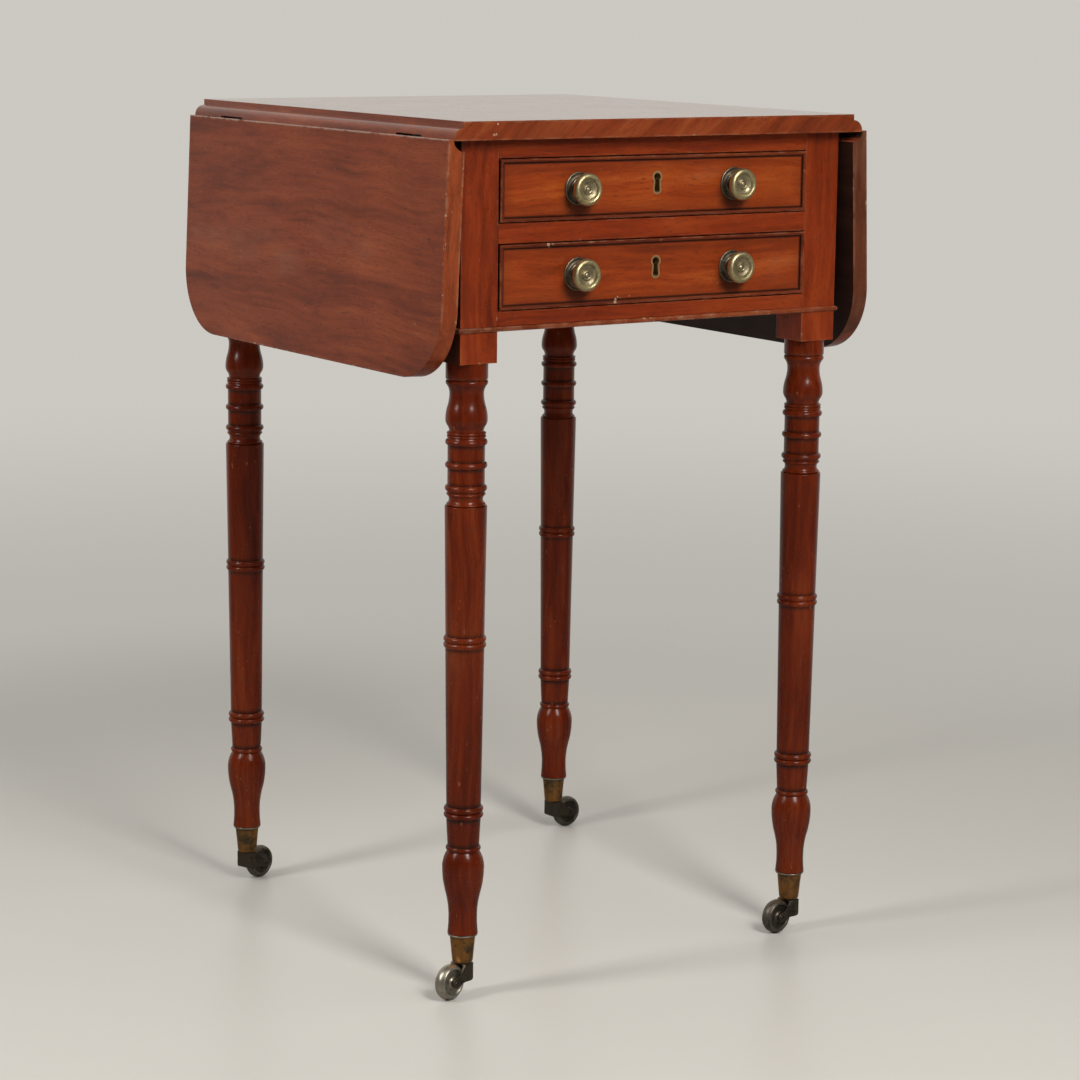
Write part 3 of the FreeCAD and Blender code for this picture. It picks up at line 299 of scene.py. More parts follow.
floor_mesh = bpy.data.meshes.new("studio_floor")
rim = [(x, y, 0.0) for x, y in circle(FLOOR_RADIUS, FLOOR_SIDES)]
floor_mesh.from_pydata(rim, [], [list(range(FLOOR_SIDES))])
floor_mesh.materials.append(paper_finish())
floor = bpy.data.objects.new("studio_floor", floor_mesh)
scene.collection.objects.link(floor)
floor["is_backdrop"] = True

world = bpy.data.worlds.new("studio")
world.use_nodes = True
world.node_tree.nodes.clear()
sky = Wire(world.node_tree)
dim = sky.node("Background", {}, {"Color": (*AMBIENT_TINT, 1.0), "Strength": AMBIENT})
night = sky.node("Background", {}, {"Strength": 0.0})
pale = sky.node("Background", {}, {"Color": (*FAR, 1.0), "Strength": 1.0})
direction = sky.node("TexCoord", {}, {}, "Generated")
eye, sent_on = ray_kinds(sky)
mirrored = sky.node("MixShader", {}, {0: backdrop_share(sky, direction), 1: night, 2: pale})
unseen = sky.node("MixShader", {}, {0: sent_on, 1: dim, 2: mirrored})
mixed = sky.node("MixShader", {}, {0: eye, 1: unseen, 2: pale})
sky.node("OutputWorld", {}, {"Surface": mixed})
scene.world = world
scene.view_settings.view_transform = "Standard"
print("floor of radius", FLOOR_RADIUS, "m, ambient light", AMBIENT)

# %% Lamps
LAMP_AIM = Vector((0.0, 0.0, 0.40))
WARM, COOL = (1.0, 0.975, 0.94), (1.0, 0.985, 0.965)
FILL_OUT, FILL_HEIGHT, FILL_SIZE = 1.85, 2.2, 2.6
LEFT_FILL, RIGHT_FILL = 12.0, 16.0


def softbox(name, at, width, height, power, colour):
    """A rectangular lamp that faces the table."""
    lamp = bpy.data.lights.new(name, "AREA")
    lamp.shape = "RECTANGLE"
    lamp.size, lamp.size_y, lamp.energy, lamp.color = width, height, power, colour
    holder = bpy.data.objects.new(name, lamp)
    facing = (Vector(at) - LAMP_AIM).to_track_quat("Z", "Y").to_matrix().to_4x4()
    holder.matrix_world = Matrix.Translation(at) @ facing
    scene.collection.objects.link(holder)
    return holder


lamps = [softbox("left_softbox", (-1.60, 0.0, 1.40), 0.34, 0.90, 13.3, COOL),
         softbox("front_softbox", (-0.12, -2.05, 1.82), 0.55, 1.00, 36.0, WARM)]
fills = [softbox("fill_%d_%d" % (x, y), (FILL_OUT * x, FILL_OUT * y, FILL_HEIGHT),
                 FILL_SIZE, FILL_SIZE, power, COOL)
         for x, power in ((-1, LEFT_FILL), (1, RIGHT_FILL)) for y in (-1, 1)]
for fill in fills:
    fill.visible_glossy = False
print(len(lamps), "lamps,", len(fills), "fills that gloss doesn't show")

# %% [markdown]
# ## Old mahogany
# The wood is mahogany under two centuries of wax and polish. Three things make it look so: grain that
# runs along each board, in broad flames, finer streaks and short dark pores; colour that has bleached
# in some places and darkened in others; and arrises rubbed pale, with small chips. An image of a
# board would repeat from piece to piece, so noise stretched along the grain gives the first two.

# %% Grain
AXES = {"X": 0, "Y": 1, "Z": 2}
# A near black for the pores, and for painted shade in gaps, hollows and under the knobs.
SOOT = (0.012, 0.006, 0.004)
# Noise along the grain: how far it is drawn out, scale, detail and roughness.
FLAME, STREAK = (7.0, 34.0, 4.0, 0.55), (26.0, 210.0, 5.0, 0.62)
FIBRE, PORE = (34.0, 1100.0, 2.0, 0.60), (16.0, 1700.0, 1.0, 0.50)
CLOUD, GLOOM = (2.4, 11.0, 4.0, 0.60), (1.6, 17.0, 4.0, 0.62)
KNOCK, WAVE = (2.2, 330.0, 1.0, 0.50), (2.0, 20.0, 2.0, 0.50)
# Noise that is alike in every direction: scale, detail and roughness.
WAVER, SMEAR = (6.0, 2.0, 0.5), (26.0, 4.0, 0.6)
RAG, NICK = (95.0, 3.0, 0.6), (210.0, 2.0, 0.5)
SWAY, FLAME_SHARE = (0.035, 0.035, 0.035), 0.55
RAMP_AT = (0.34, 0.50, 0.66)
# The noise levels between which a mark comes in, and how much it hides of what lies under it.
LEVEL = {"fibre": (0.52, 0.72), "pore": (0.60, 0.70), "cloud": (0.56, 0.72), "gloom": (0.52, 0.74),
         "knock": (0.735, 0.775)}
# Some hiding marks are painted shade: the band along a cockbead and its soft border, the gaps beside the
# beads, the shadow under a knob, and in part the turnings' hollows.
HIDES = {"fibre": 0.40, "pore": 0.45, "rub": 0.45, "chip": 0.85, "border": 0.35, "grime": 0.85,
         "hollow": 0.80, "crevice": 0.90, "soiled": 0.62}


def grained(place, grain, layer):
    """Noise drawn out along the grain."""
    stretch, *settings = layer
    scale = [1.0, 1.0, 1.0]
    scale[AXES[grain]] = 1.0 / stretch
    return noise(place.node("Mapping", {}, {"Vector": place, "Scale": scale}), *settings)


def figured(place, grain, tones):
    """The colour of sound wood, and its streaks, fibres and pores for the bump."""
    dark = tones[0]
    waver = noise(place, *WAVER, "Color")
    bent = place.node("VectorMath", {"operation": "MULTIPLY_ADD"}, {0: waver, 1: SWAY, 2: place})
    flame, streak = grained(bent, grain, FLAME), grained(bent, grain, STREAK)
    fibre, pore = grained(bent, grain, FIBRE), fade(grained(bent, grain, PORE), *LEVEL["pore"])
    figure = flame * FLAME_SHARE + streak * (1.0 - FLAME_SHARE)
    colour = place.node("ValToRGB", {"stops": list(zip(RAMP_AT, tones))}, {0: figure})
    colour = tint(fade(fibre, *LEVEL["fibre"]) * HIDES["fibre"], colour, dark)
    return tint(pore * HIDES["pore"], colour, SOOT), streak, fibre, pore


def aged(colour, place, grain, tones, bleach, soot):
    """Bleached clouds and darkened patches over the figure."""
    dark, _, _, faded, _ = tones
    cloud = fade(grained(place, grain, CLOUD), *LEVEL["cloud"])
    gloom = fade(grained(place, grain, GLOOM), *LEVEL["gloom"])
    return tint(gloom * soot, tint(cloud * bleach, colour, faded), dark)


print(len(LEVEL), "kinds of mark in the grain")

# %% [markdown]
# ## Worn arrises
# Hands, cloths and knocks wear a table where it stands out. On a flat board the finish has to know how
# far a point lies from the nearest arris. It could be painted on by hand, but the board's own box
# gives it: on a face one of the three distances to the box is zero, so the middle one is the distance
# sought. A turning has no box to measure from, so there a number on the mesh says what stands out.
# Light is painted here too: shade along and beside the cockbeads, in the turnings' grooves together
# with old wax, and under the knobs, and a highlight that joins the wear on a leaf's upper arris.

# %% Wear
# The pale lip colour is partly wear and partly a painted highlight along a leaf's upper arris.
PALE_LIP, LIP_LINE, LIP_GAPS = (0.44, 0.33, 0.27), (0.0012, 0.0006), (0.36, 0.50)
RUB_FROM, RUB_REACH, RUB_LEAST, RUB_GAPS = 0.0002, 0.0042, 0.0005, (0.40, 0.62)
CHIP_REACH, CHIP_STEP = (0.0006, 0.0022), 0.025
# The first is how far a soft painted shade spreads inside the band along a cockbead; the second pair is how
# far the painted shadow below a knob reaches.
DARK_BORDER, SOILED_REACH = 0.013, (0.009, 0.021)
CREST_RUB, CREST_GAPS, CREST_CHIP = (0.15, 0.60), (0.36, 0.62), (0.25, 0.60)
# The hollow range darkens a turning's grooves, partly as old wax and partly as painted shade.
CREST_NICKS, HOLLOW = (0.70, 0.72), (0.05, 0.45)
SPOT_RAG, SPOT_EDGE = 2.0, (1.5, 1.9)


def arris_distance(place, low, high):
    """How far a point of a board's surface lies from the nearest arris, in metres."""
    parts = place.node("SeparateXYZ", {}, {0: place})
    gaps = []
    for axis in range(3):
        at = parts.out(axis)
        gaps.append(at.math("MINIMUM", at - low[axis], high[axis] - at))
    x, y, z = gaps
    least = x.math("MINIMUM", x.math("MINIMUM", x, y), z)
    most = x.math("MAXIMUM", x.math("MAXIMUM", x, y), z)
    return x + y + z - least - most


def chipped(place, nick, spots):
    """Small ragged patches round given points."""
    mask = 0.0
    for point, radius in spots:
        ragged = distance(place, point) + nick * (SPOT_RAG * radius)
        patch = 1.0 - fade(ragged, *(edge * radius for edge in SPOT_EDGE))
        mask = place.math("MAXIMUM", mask, patch)
    return mask


def board_wear(colour, place, reach, dark, rag, nick, wear, nicks, lip, grime):
    """Colour with a pale lip, partly painted highlight, and dirt and painted shade; rub and chip masks of a
    board.
    """
    edge = arris_distance(place, *reach)
    rub = 1.0 - fade(edge, RUB_FROM, rag * RUB_REACH * wear + RUB_LEAST)
    rub = rub * fade(rag, *RUB_GAPS)
    chip = fade(nick, nicks, nicks + CHIP_STEP) * (1.0 - fade(edge, *CHIP_REACH)) * min(1.0, wear)
    # A pale line along the upper arris: partly wear, partly a painted highlight.
    if lip:
        line = fade(coordinate(place, "Z"), *(reach[1].z - drop for drop in LIP_LINE))
        colour = tint(line * fade(rag, *LIP_GAPS) * lip, colour, PALE_LIP)
    # A band of dirt and painted shade along a cockbead, with a wider soft painted shade inside it.
    if grime:
        border = 1.0 - fade(edge, grime[1], grime[1] + DARK_BORDER)
        colour = tint(border * HIDES["border"], colour, dark)
        colour = tint((1.0 - fade(edge, *grime)) * HIDES["grime"], colour, SOOT)
    return colour, rub, chip


def turning_wear(colour, rag, nick, wear):
    """The same for a turning, from the relief that its mesh carries."""
    relief = rag.node("Attribute", {"attribute_name": "relief"}, {}, "Fac")
    rub = fade(relief, *CREST_RUB) * fade(rag, *CREST_GAPS) * wear
    chip = fade(nick, *CREST_NICKS) * fade(relief, *CREST_CHIP) * wear
    # Grooves are darkened, partly old wax and partly painted shade.
    return tint(fade(0.0 - relief, *HOLLOW) * HIDES["hollow"], colour, SOOT), rub, chip


def dirtied(colour, place, crevice, soiled):
    """Painted shade behind a front plane, in the gaps beside a bead, and painted shadows round points below
    the knobs.
    """
    # Painted shade where a bead's sides run back into the gaps behind the front plane.
    if crevice:
        front, *depths = crevice
        depth = coordinate(place, "Y") - front
        colour = tint(fade(depth, *depths) * HIDES["crevice"], colour, SOOT)
    # A painted shadow below each knob, darkest near its centre.
    for point in soiled:
        near = 1.0 - fade(distance(place, point), *SOILED_REACH)
        colour = tint(near * HIDES["soiled"], colour, SOOT)
    return colour


print("arrises are rubbed over", RUB_REACH * 1000, "mm at most")

# %% Timber finish
STREAK_HEIGHT, FIBRE_HEIGHT, PORE_DEPTH, CHIP_DEPTH, BUMP_DEPTH = 0.16, 0.05, 0.10, 0.8, 0.0005
PORE_ROUGHER, CHIP_ROUGHER, COAT_ROUGHNESS = 0.08, 0.3, 0.08


def timber(name, tones, grain, reach=None, turn=None, slant=0.0, wear=0.5, bleach=0.3, soot=0.45,
           gloss=(0.22, 0.36), coat=0.0, ior=1.5, bump=0.35, ripple=2.0, spots=(), dents=0.0,
           nicks=0.675, lip=0.0, grime=None, crevice=None, soiled=()):
    """A polished board or turning.

    Reach is a board's box, for its worn arrises; without one the relief attribute serves. Turn stands
    a leaning board upright first, and slant leans the grain about Y. Spots are chips at known places,
    dents a share of small pale knocks, nicks the noise level over which an arris is chipped, and lip
    the strength of a pale line along the upper arris, partly wear and partly painted highlight. Grime
    is a band of dirt and painted shade between two distances from the box, crevice a front plane and
    two depths behind it between which painted shade fills the gaps, and the knob points are where a
    painted shadow darkens the polish. Ripple is the unevenness of the face."""
    dark, _, _, faded, raw = tones
    material, start = blank(name)
    place = start.node("TexCoord", {}, {}, "Object")
    if turn:
        sockets = {"Vector": place, "Location": turn[0], "Rotation": turn[1]}
        place = start.node("Mapping", {}, sockets)
    laid = place
    if slant:
        laid = start.node("Mapping", {}, {"Vector": place, "Rotation": (0.0, slant, 0.0)})
    colour, streak, fibre, pore = figured(laid, grain, tones)
    colour = aged(colour, place, grain, tones, bleach, soot)
    rag, nick = noise(place, *RAG), noise(place, *NICK)
    if reach:
        colour, rub, chip = board_wear(colour, place, reach, dark, rag, nick, wear, nicks, lip, grime)
    else:
        colour, rub, chip = turning_wear(colour, rag, nick, wear)
    colour = dirtied(colour, place, crevice, soiled)
    if spots:
        chip = start.math("MAXIMUM", chip, chipped(place, nick, spots))
    colour = tint(rub * HIDES["rub"], colour, faded)
    if dents:
        knock = fade(grained(place, grain, KNOCK), *LEVEL["knock"])
        colour = tint(knock * dents, colour, faded)
    colour = tint(chip * HIDES["chip"], colour, raw)
    rough = gloss[0] + noise(place, *SMEAR) * (gloss[1] - gloss[0])
    rough = rough + pore * PORE_ROUGHER + chip * CHIP_ROUGHER
    height = streak * STREAK_HEIGHT + fibre * FIBRE_HEIGHT - pore * PORE_DEPTH - chip * CHIP_DEPTH
    height = height + grained(place, grain, WAVE) * ripple
    normal = start.node("Bump", {}, {"Strength": bump, "Distance": BUMP_DEPTH, "Height": height})
    shader = start.node("BsdfPrincipled", {}, {
        "Base Color": colour, "Roughness": rough, "Normal": normal, "IOR": ior,
        "Coat Weight": coat, "Coat Roughness": COAT_ROUGHNESS})
    start.node("OutputMaterial", {}, {"Surface": shader})
    return material


print("a timber finish has", timber.__code__.co_argcount, "settings")

# %% [markdown]
# ## Tones of the boards
# Most families of boards have aged in their own way. The drawer fronts are the brightest, an orange
# brown with greyish faded clouds; the square tops of the legs and the rails are redder; the leaves are
# duller, because they take the light at a slant; and the linings that nobody polishes stay pale and
# dry. The dark side family is painted shade, for the side panels and the outer faces of the legs'
# squares in the shade of the hanging leaves, and the nearly black family for the leaves' inner faces
# is painted shade over unpolished wood. A tone is four colours, dark grain, body, light grain and
# faded polish, and the raw wood that a chip shows is the same in all.

# %% Tones
RAW = (0.42, 0.28, 0.18)
POLISHED = {
    "drawer": [(0.135, 0.020, 0.004), (0.285, 0.041, 0.006), (0.40, 0.083, 0.013), (0.32, 0.125, 0.062)],
    "case": [(0.105, 0.013, 0.003), (0.237, 0.030, 0.005), (0.33, 0.056, 0.010), (0.28, 0.090, 0.042)],
    # The side family is painted shade: the side panels and the outer faces of the legs' squares stand in
    # the shade of the leaves.
    "side": [(0.030, 0.005, 0.002), (0.070, 0.011, 0.004), (0.12, 0.022, 0.007), (0.14, 0.050, 0.028)],
    "leg": [(0.058, 0.006, 0.001), (0.124, 0.014, 0.002), (0.20, 0.031, 0.005), (0.26, 0.080, 0.028)],
    "top": [(0.110, 0.018, 0.005), (0.218, 0.036, 0.008), (0.32, 0.076, 0.020), (0.32, 0.130, 0.068)],
    "leaf": [(0.105, 0.017, 0.005), (0.215, 0.039, 0.011), (0.30, 0.066, 0.020), (0.27, 0.120, 0.075)],
}
EDGES = {
    "left_end": [(0.12, 0.020, 0.005), (0.260, 0.048, 0.011), (0.36, 0.085, 0.022), (0.36, 0.170, 0.090)],
    "right_end": [(0.05, 0.012, 0.005), (0.115, 0.030, 0.012), (0.17, 0.050, 0.020), (0.24, 0.120, 0.070)],
    "bead": [(0.10, 0.016, 0.004), (0.200, 0.036, 0.009), (0.30, 0.070, 0.018), (0.40, 0.190, 0.110)],
    "cockbead": [(0.065, 0.009, 0.003), (0.14, 0.022, 0.005), (0.21, 0.045, 0.010), (0.36, 0.150, 0.075)],
}
UNPOLISHED = {
    # Nearly black: painted shade over unpolished wood, for the leaves' faces towards the case.
    "underside": [(0.014, 0.004, 0.002), (0.030, 0.009, 0.005), (0.052, 0.017, 0.009), (0.06, 0.032, 0.02)],
    "lining": [(0.17, 0.085, 0.034), (0.33, 0.190, 0.088), (0.44, 0.275, 0.140), (0.40, 0.28, 0.17)],
    "pine": [(0.20, 0.105, 0.042), (0.40, 0.240, 0.110), (0.52, 0.345, 0.180), (0.44, 0.32, 0.20)],
}
TONES = {family: (*colours, RAW) for table in (POLISHED, EDGES, UNPOLISHED)
         for family, colours in table.items()}
print(len(TONES), "families of wood")

# %% [markdown]
# ## Boards with eased arrises
# No edge of a used table is sharp. Each board is copied from its CAD piece, its loose triangles are
# merged and its flat faces joined up, and then its long convex edges are rounded by about half a
# millimetre, which is what catches the light. Doing this on the copy keeps every board exactly where
# the frame has it.

# %% Copies of the CAD boards
SMOOTH, ARRIS, FLAT = math.radians(34), math.radians(38), math.radians(0.4)
MERGE, SHORTEST = 2e-6, 2.5


def merged_copy(node):
    """The CAD piece as one clean mesh, ready for editing."""
    bm = bmesh.new()
    bm.from_mesh(frame["nodes"][node].data)
    bmesh.ops.remove_doubles(bm, verts=bm.verts[:], dist=MERGE)
    return bm


def ease_arrises(bm, ease, keep=lambda edge: True):
    """Round the long convex edges that keep agrees to."""
    bmesh.ops.dissolve_limit(bm, angle_limit=FLAT, verts=bm.verts[:], edges=bm.edges[:])
    arrises = [edge for edge in bm.edges
               if edge.is_manifold and edge.calc_length() > SHORTEST * ease
               and edge.calc_face_angle_signed() > ARRIS and keep(edge)]
    bmesh.ops.bevel(bm, geom=arrises, offset=ease, offset_type="OFFSET", segments=2, profile=0.5,
                    affect="EDGES", clamp_overlap=True)
    return len(arrises)


def linked_object(name, bm):
    """An edited mesh as an object at the origin."""
    mesh = bpy.data.meshes.new(name)
    bm.to_mesh(mesh)
    bm.free()
    made = bpy.data.objects.new(name, mesh)
    scene.collection.objects.link(made)
    return made


def dress(mesh, materials):
    """Add materials to a mesh."""
    for material in materials:
        mesh.materials.append(material)


def bake_modifiers(made):
    """Put the result of an object's modifiers into its mesh."""
    bpy.context.view_layer.update()
    held = made.evaluated_get(bpy.context.evaluated_depsgraph_get())
    mesh = bpy.data.meshes.new_from_object(held)
    made.modifiers.clear()
    old = made.data
    made.data = mesh
    bpy.data.meshes.remove(old)
    mesh.name = made.name
    return made


def finished_object(name, bm, materials, choose=None):
    """An edited mesh as an object that is smooth but for its sharp edges.

    Choose gives the number of a face's material."""
    if choose:
        for face in bm.faces:
            face.material_index = choose(face)
    made = linked_object(name, bm)
    made.data.shade_smooth()
    made.data.set_sharp_from_angle(angle=SMOOTH)
    dress(made.data, materials)
    made.modifiers.new("face_weights", "WEIGHTED_NORMAL").keep_sharp = True
    return bake_modifiers(made)


def body_name(node):
    return body_of(frame["nodes"][node])[0]


def put_in_place(piece, node, slot):
    """The piece stands for a CAD node and moves with its body."""
    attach(piece, body_name(node))
    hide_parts(node)


print("edges over", round(math.degrees(ARRIS)), "degrees count as arrises")

# %% [markdown]
# ## Rails, panels and drawer fronts
# These are plain boards, so one loop makes them all and a table says how they differ: the family of
# tone, the way the grain runs, and how much the polish has worn and bleached. The side panels take
# the dark side tone, which is painted shade from the hanging leaves. The drawer fronts carry a band
# of dirt and painted shade along their cockbeads and a painted shadow under each knob, and the
# cockbeads have painted shade where they run back into the gaps. The chips that catch the eye have
# known places, and the rest come from noise.

# %% Boards
DRAWERS = ("upper_drawer_", "lower_drawer_")
BOARDS = [
    ("front_top_rail", "case", "X", "case_mahogany", 0.3, 0.2),
    ("front_middle_rail", "case", "X", "case_mahogany", 0.4, 0.35),
    ("front_bottom_rail", "case", "X", "case_mahogany", 0.4, 0.25),
    # The side panels take the dark side tone: painted shade from the hanging leaves.
    ("side_panel_left", "side", "Y", "case_mahogany", 0.4, 0.2),
    ("side_panel_right", "side", "Y", "case_mahogany", 0.4, 0.2),
    ("back_panel", "case", "X", "case_mahogany", 0.4, 0.2),
    ("base_bead", "bead", "X", "case_mahogany", 1.0, 0.6),
    ("upper_drawer_front", "drawer", "X", "drawer_mahogany", 0.0, 0.25),
    ("lower_drawer_front", "drawer", "X", "drawer_mahogany", 0.0, 0.35),
    ("upper_drawer_cockbeads", "cockbead", "X", "drawer_mahogany", 0.35, 0.3),
    ("lower_drawer_cockbeads", "cockbead", "X", "drawer_mahogany", 0.45, 0.35),
]
SPOTS = {
    "upper_drawer_cockbeads": [((-0.1558, -0.208, 0.6897), 0.0007), ((-0.0467, -0.208, 0.6402), 0.0007)],
    "lower_drawer_cockbeads": [((-0.1550, -0.208, 0.6221), 0.0008), ((-0.1071, -0.208, 0.6209), 0.0017),
                               ((-0.1030, -0.208, 0.6209), 0.0014), ((-0.0414, -0.208, 0.5717), 0.0016),
                               ((0.0321, -0.208, 0.5745), 0.0009)],
    "lower_drawer_front": [((-0.1050, -0.2063, 0.6186), 0.0012), ((-0.0377, -0.2065, 0.5756), 0.0009),
                           ((-0.0260, -0.2065, 0.5757), 0.0008), ((-0.0400, -0.2063, 0.5735), 0.0012)],
    "base_bead": [((-0.0020, -0.208, 0.5536), 0.0015), ((0.0060, -0.208, 0.5530), 0.0009)],
}
BOARD_EASE, BEAD_EASE = 0.0005, 0.0002
BOARD_IOR, BOARD_SOOT, BOARD_DENTS = 1.44, 0.28, 0.5
# The last pair is the depth behind a bead's face over which painted shade fills the gaps.
BEAD_GLOSS, BEAD_IOR, CREVICE = (0.34, 0.50), 1.32, (0.0006, 0.0016)
# A band of dirt and painted shade on a drawer front, between these distances from its box.
GRIME = (0.0038, 0.0052)
# How far below a knob's axis its painted shadow is centred.
KNOB_RADIUS, KNOB_DROP = 0.0134, 0.008


def knob_axes(prefix):
    """Where a drawer's two knobs have their axes, across and up."""
    low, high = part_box(prefix + "knobs")
    return [(x, (low.z + high.z) / 2) for x in (low.x + KNOB_RADIUS, high.x - KNOB_RADIUS)]


for node, tone, grain, slot, wear, bleach in BOARDS:
    bm = merged_copy(node)
    eased = ease_arrises(bm, BEAD_EASE if "bead" in node else BOARD_EASE)
    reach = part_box(node)
    finish = {"ior": BOARD_IOR}
    if tone == "cockbead":
        # Painted shade in the gaps beside the bead.
        finish = {"ior": BEAD_IOR, "gloss": BEAD_GLOSS, "crevice": (reach[0].y, *CREVICE)}
    elif tone == "drawer":
        # Dirt and painted shade along the cockbead, and a painted shadow below each knob.
        finish["grime"] = GRIME
        finish["soiled"] = [(x, reach[0].y, z - KNOB_DROP)
                            for x, z in knob_axes(node.removesuffix("front"))]
    polish = timber("polish_" + node, TONES[tone], grain, reach=reach, wear=wear, bleach=bleach,
                    soot=BOARD_SOOT, spots=SPOTS.get(node, ()), dents=BOARD_DENTS, **finish)
    board = finished_object(node + "_polished", bm, [polish])
    put_in_place(board, node, slot)
    print(node, eased, "arrises eased,", len(board.data.polygons), "faces")

# %% [markdown]
# ## Top
# The top is one wide board with its grain from front to back, so its front and back ends show slanting
# end grain. Its face is the part of the table that is polished most often and mirrors the backdrop
# when it is seen along its length. One mesh with two finishes tells these apart by the direction of
# each face.

# %% Top
TOP_CHIPS = [((-0.1665, -0.219, 0.7090), 0.0013), ((-0.1645, -0.219, 0.7098), 0.0010),
             ((-0.1631, -0.219, 0.7178), 0.0009)]
TOP_EASE, TOP_SLANT, TOP_END = 0.0008, math.radians(-52), 0.5
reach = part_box("top_board")
top_face = timber("polish_top_face", TONES["top"], "Y", reach=reach, wear=0.7, bleach=0.25,
                  gloss=(0.08, 0.16), coat=0.5)
top_end = timber("polish_top_end", TONES["top"], "Z", reach=reach, wear=0.7, bleach=0.2,
                 spots=TOP_CHIPS, slant=TOP_SLANT, soot=0.3)
bm = merged_copy("top_board")
eased = ease_arrises(bm, TOP_EASE)
top = finished_object("top_board_polished", bm, [top_face, top_end],
                      lambda face: int(abs(face.normal.y) > TOP_END))
put_in_place(top, "top_board", "top_mahogany")
print("top_board", eased, "arrises eased")

# %% [markdown]
# ## Leaves
# The leaves hang from the rule joints and lean a little off the upright. Their arrises are rubbed and
# chipped from being lifted, most of all on the end that faces the room. The worn edge needs a box that
# follows the lean, so the finish turns its coordinates about the hinge before it measures distances.
# The undersides, which face the case, were never polished; their nearly black tone is painted shade
# over that dry wood. A pale line along the upper arris is partly wear and partly painted highlight.

# %% Leaves
LEAN = math.radians(2.5)
HINGE_X, HINGE_Z = 0.194, 0.706
LEAF_CHIPS = {"left_leaf": [((-0.1952, -0.219, 0.6981), 0.0009), ((-0.2020, -0.219, 0.6500), 0.0008)],
              "right_leaf": [((0.2000, -0.219, 0.5631), 0.0014), ((0.1960, -0.219, 0.5411), 0.0012)]}
LEAF_WEAR = {"wear": 1.0, "bleach": 0.35, "nicks": 0.635}
UNDERSIDE, LEAF_END = -0.8, 0.7


def hinge_pin(side):
    """The axis about which a leaf turns, at the middle of its length."""
    return Vector((side * HINGE_X, 0.0, HINGE_Z))


def upright_frame(node, side):
    """Location and rotation that stand a leaning leaf upright about its hinge, and its box then."""
    spin = Matrix.Rotation(side * LEAN, 3, "Y")
    shift = hinge_pin(side) - spin @ hinge_pin(side)
    corners = [spin @ v.co + shift for v in frame["nodes"][node].data.vertices]
    box = [Vector(pick(c[axis] for c in corners) for axis in range(3)) for pick in (min, max)]
    return (shift, (0.0, side * LEAN, 0.0)), box


def leaf_finish(normal, side):
    """The number of a finish: 0 for the outer face and long edges, 1 the underside in painted shade, 2 end
    grain.
    """
    if normal.x * side < UNDERSIDE:
        return 1
    return 2 if abs(normal.y) > LEAF_END else 0


for node, side in (("left_leaf", -1), ("right_leaf", 1)):
    turn, reach = upright_frame(node, side)
    bm = merged_copy(node)
    eased = ease_arrises(bm, TOP_EASE)
    polish = timber("polish_" + node, TONES["leaf"], "Y", reach=reach, turn=turn, gloss=(0.24, 0.40),
                    spots=LEAF_CHIPS[node], ior=1.42, dents=0.4, soot=0.30, lip=0.85, **LEAF_WEAR)
    # The leaves' faces towards the case: nearly black painted shade over unpolished wood.
    under = timber("dry_" + node, TONES["underside"], "Y", reach=reach, turn=turn, wear=0.2,
                   bleach=0.2, gloss=(0.5, 0.65))
    ends = timber("end_grain_" + node, TONES["left_end" if side < 0 else "right_end"], "Z",
                  reach=reach, turn=turn, gloss=(0.30, 0.46), spots=LEAF_CHIPS[node], ior=1.40,
                  **LEAF_WEAR)
    leaf = finished_object(node + "_polished", bm, [polish, under, ends],
                           lambda face: leaf_finish(face.normal, side))
    put_in_place(leaf, node, "top_mahogany")
    print(node, eased, "arrises eased, upright box", [[round(v, 4) for v in end] for end in reach])

# %% [markdown]
# ## Legs
# A leg is one stick, left square where the case is jointed to it and turned below. The square is
# copied from the CAD piece; the face of it that looks out towards the hanging leaf takes the dark
# side tone, which is painted shade. A turner works the rest from a profile, and so does this cell:
# straight runs and arcs, the same as in the drawing, are cut into short steps and spun round the
# leg's axis, which gives the smooth curves that carry long highlights. The grooves are darkened,
# partly by old wax and partly with painted shade, and the crests are rubbed, so the mesh carries one
# number at each vertex that says how far it stands out, and the finish reads it.

# %% Lathe
ARC_STEP, RUN_STEP, LEAST_ARC_STEPS = 0.6, 4.0, 3
MILLIMETRES = 1000.0


def arc_points(first, last, kind, amount):
    """Points along an arc: bulge swells by an amount, level has its centre at a height."""
    (r0, z0), (r1, z1) = first, last
    if kind == "level":
        squares = r0 ** 2 - r1 ** 2 + (z0 - amount) ** 2 - (z1 - amount) ** 2
        centre = (squares / (2 * (r0 - r1)), amount)
    else:
        half = (z0 - z1) / 2
        centre = (r0 + amount - (half ** 2 + amount ** 2) / (2 * amount), (z0 + z1) / 2)
    radius = math.hypot(r0 - centre[0], z0 - centre[1])
    begin = math.atan2(z0 - centre[1], r0 - centre[0])
    sweep = math.remainder(math.atan2(z1 - centre[1], r1 - centre[0]) - begin, math.tau)
    count = max(LEAST_ARC_STEPS, math.ceil(abs(sweep) * radius / ARC_STEP))
    angles = [begin + sweep * k / count for k in range(1, count + 1)]
    return [(centre[0] + radius * math.cos(a), centre[1] + radius * math.sin(a)) for a in angles]


def drawn(profile):
    """A profile of runs and arcs as a chain of close points."""
    points = [profile[0]]
    for step in profile[1:]:
        if len(step) == 4:
            points += arc_points(points[-1], step[:2], *step[2:])
            continue
        (r0, z0), (r1, z1) = points[-1], step
        count = max(1, math.ceil(abs(z1 - z0) / RUN_STEP))
        points += [(r0 + (r1 - r0) * k / count, z0 + (z1 - z0) * k / count)
                   for k in range(1, count + 1)]
    return points


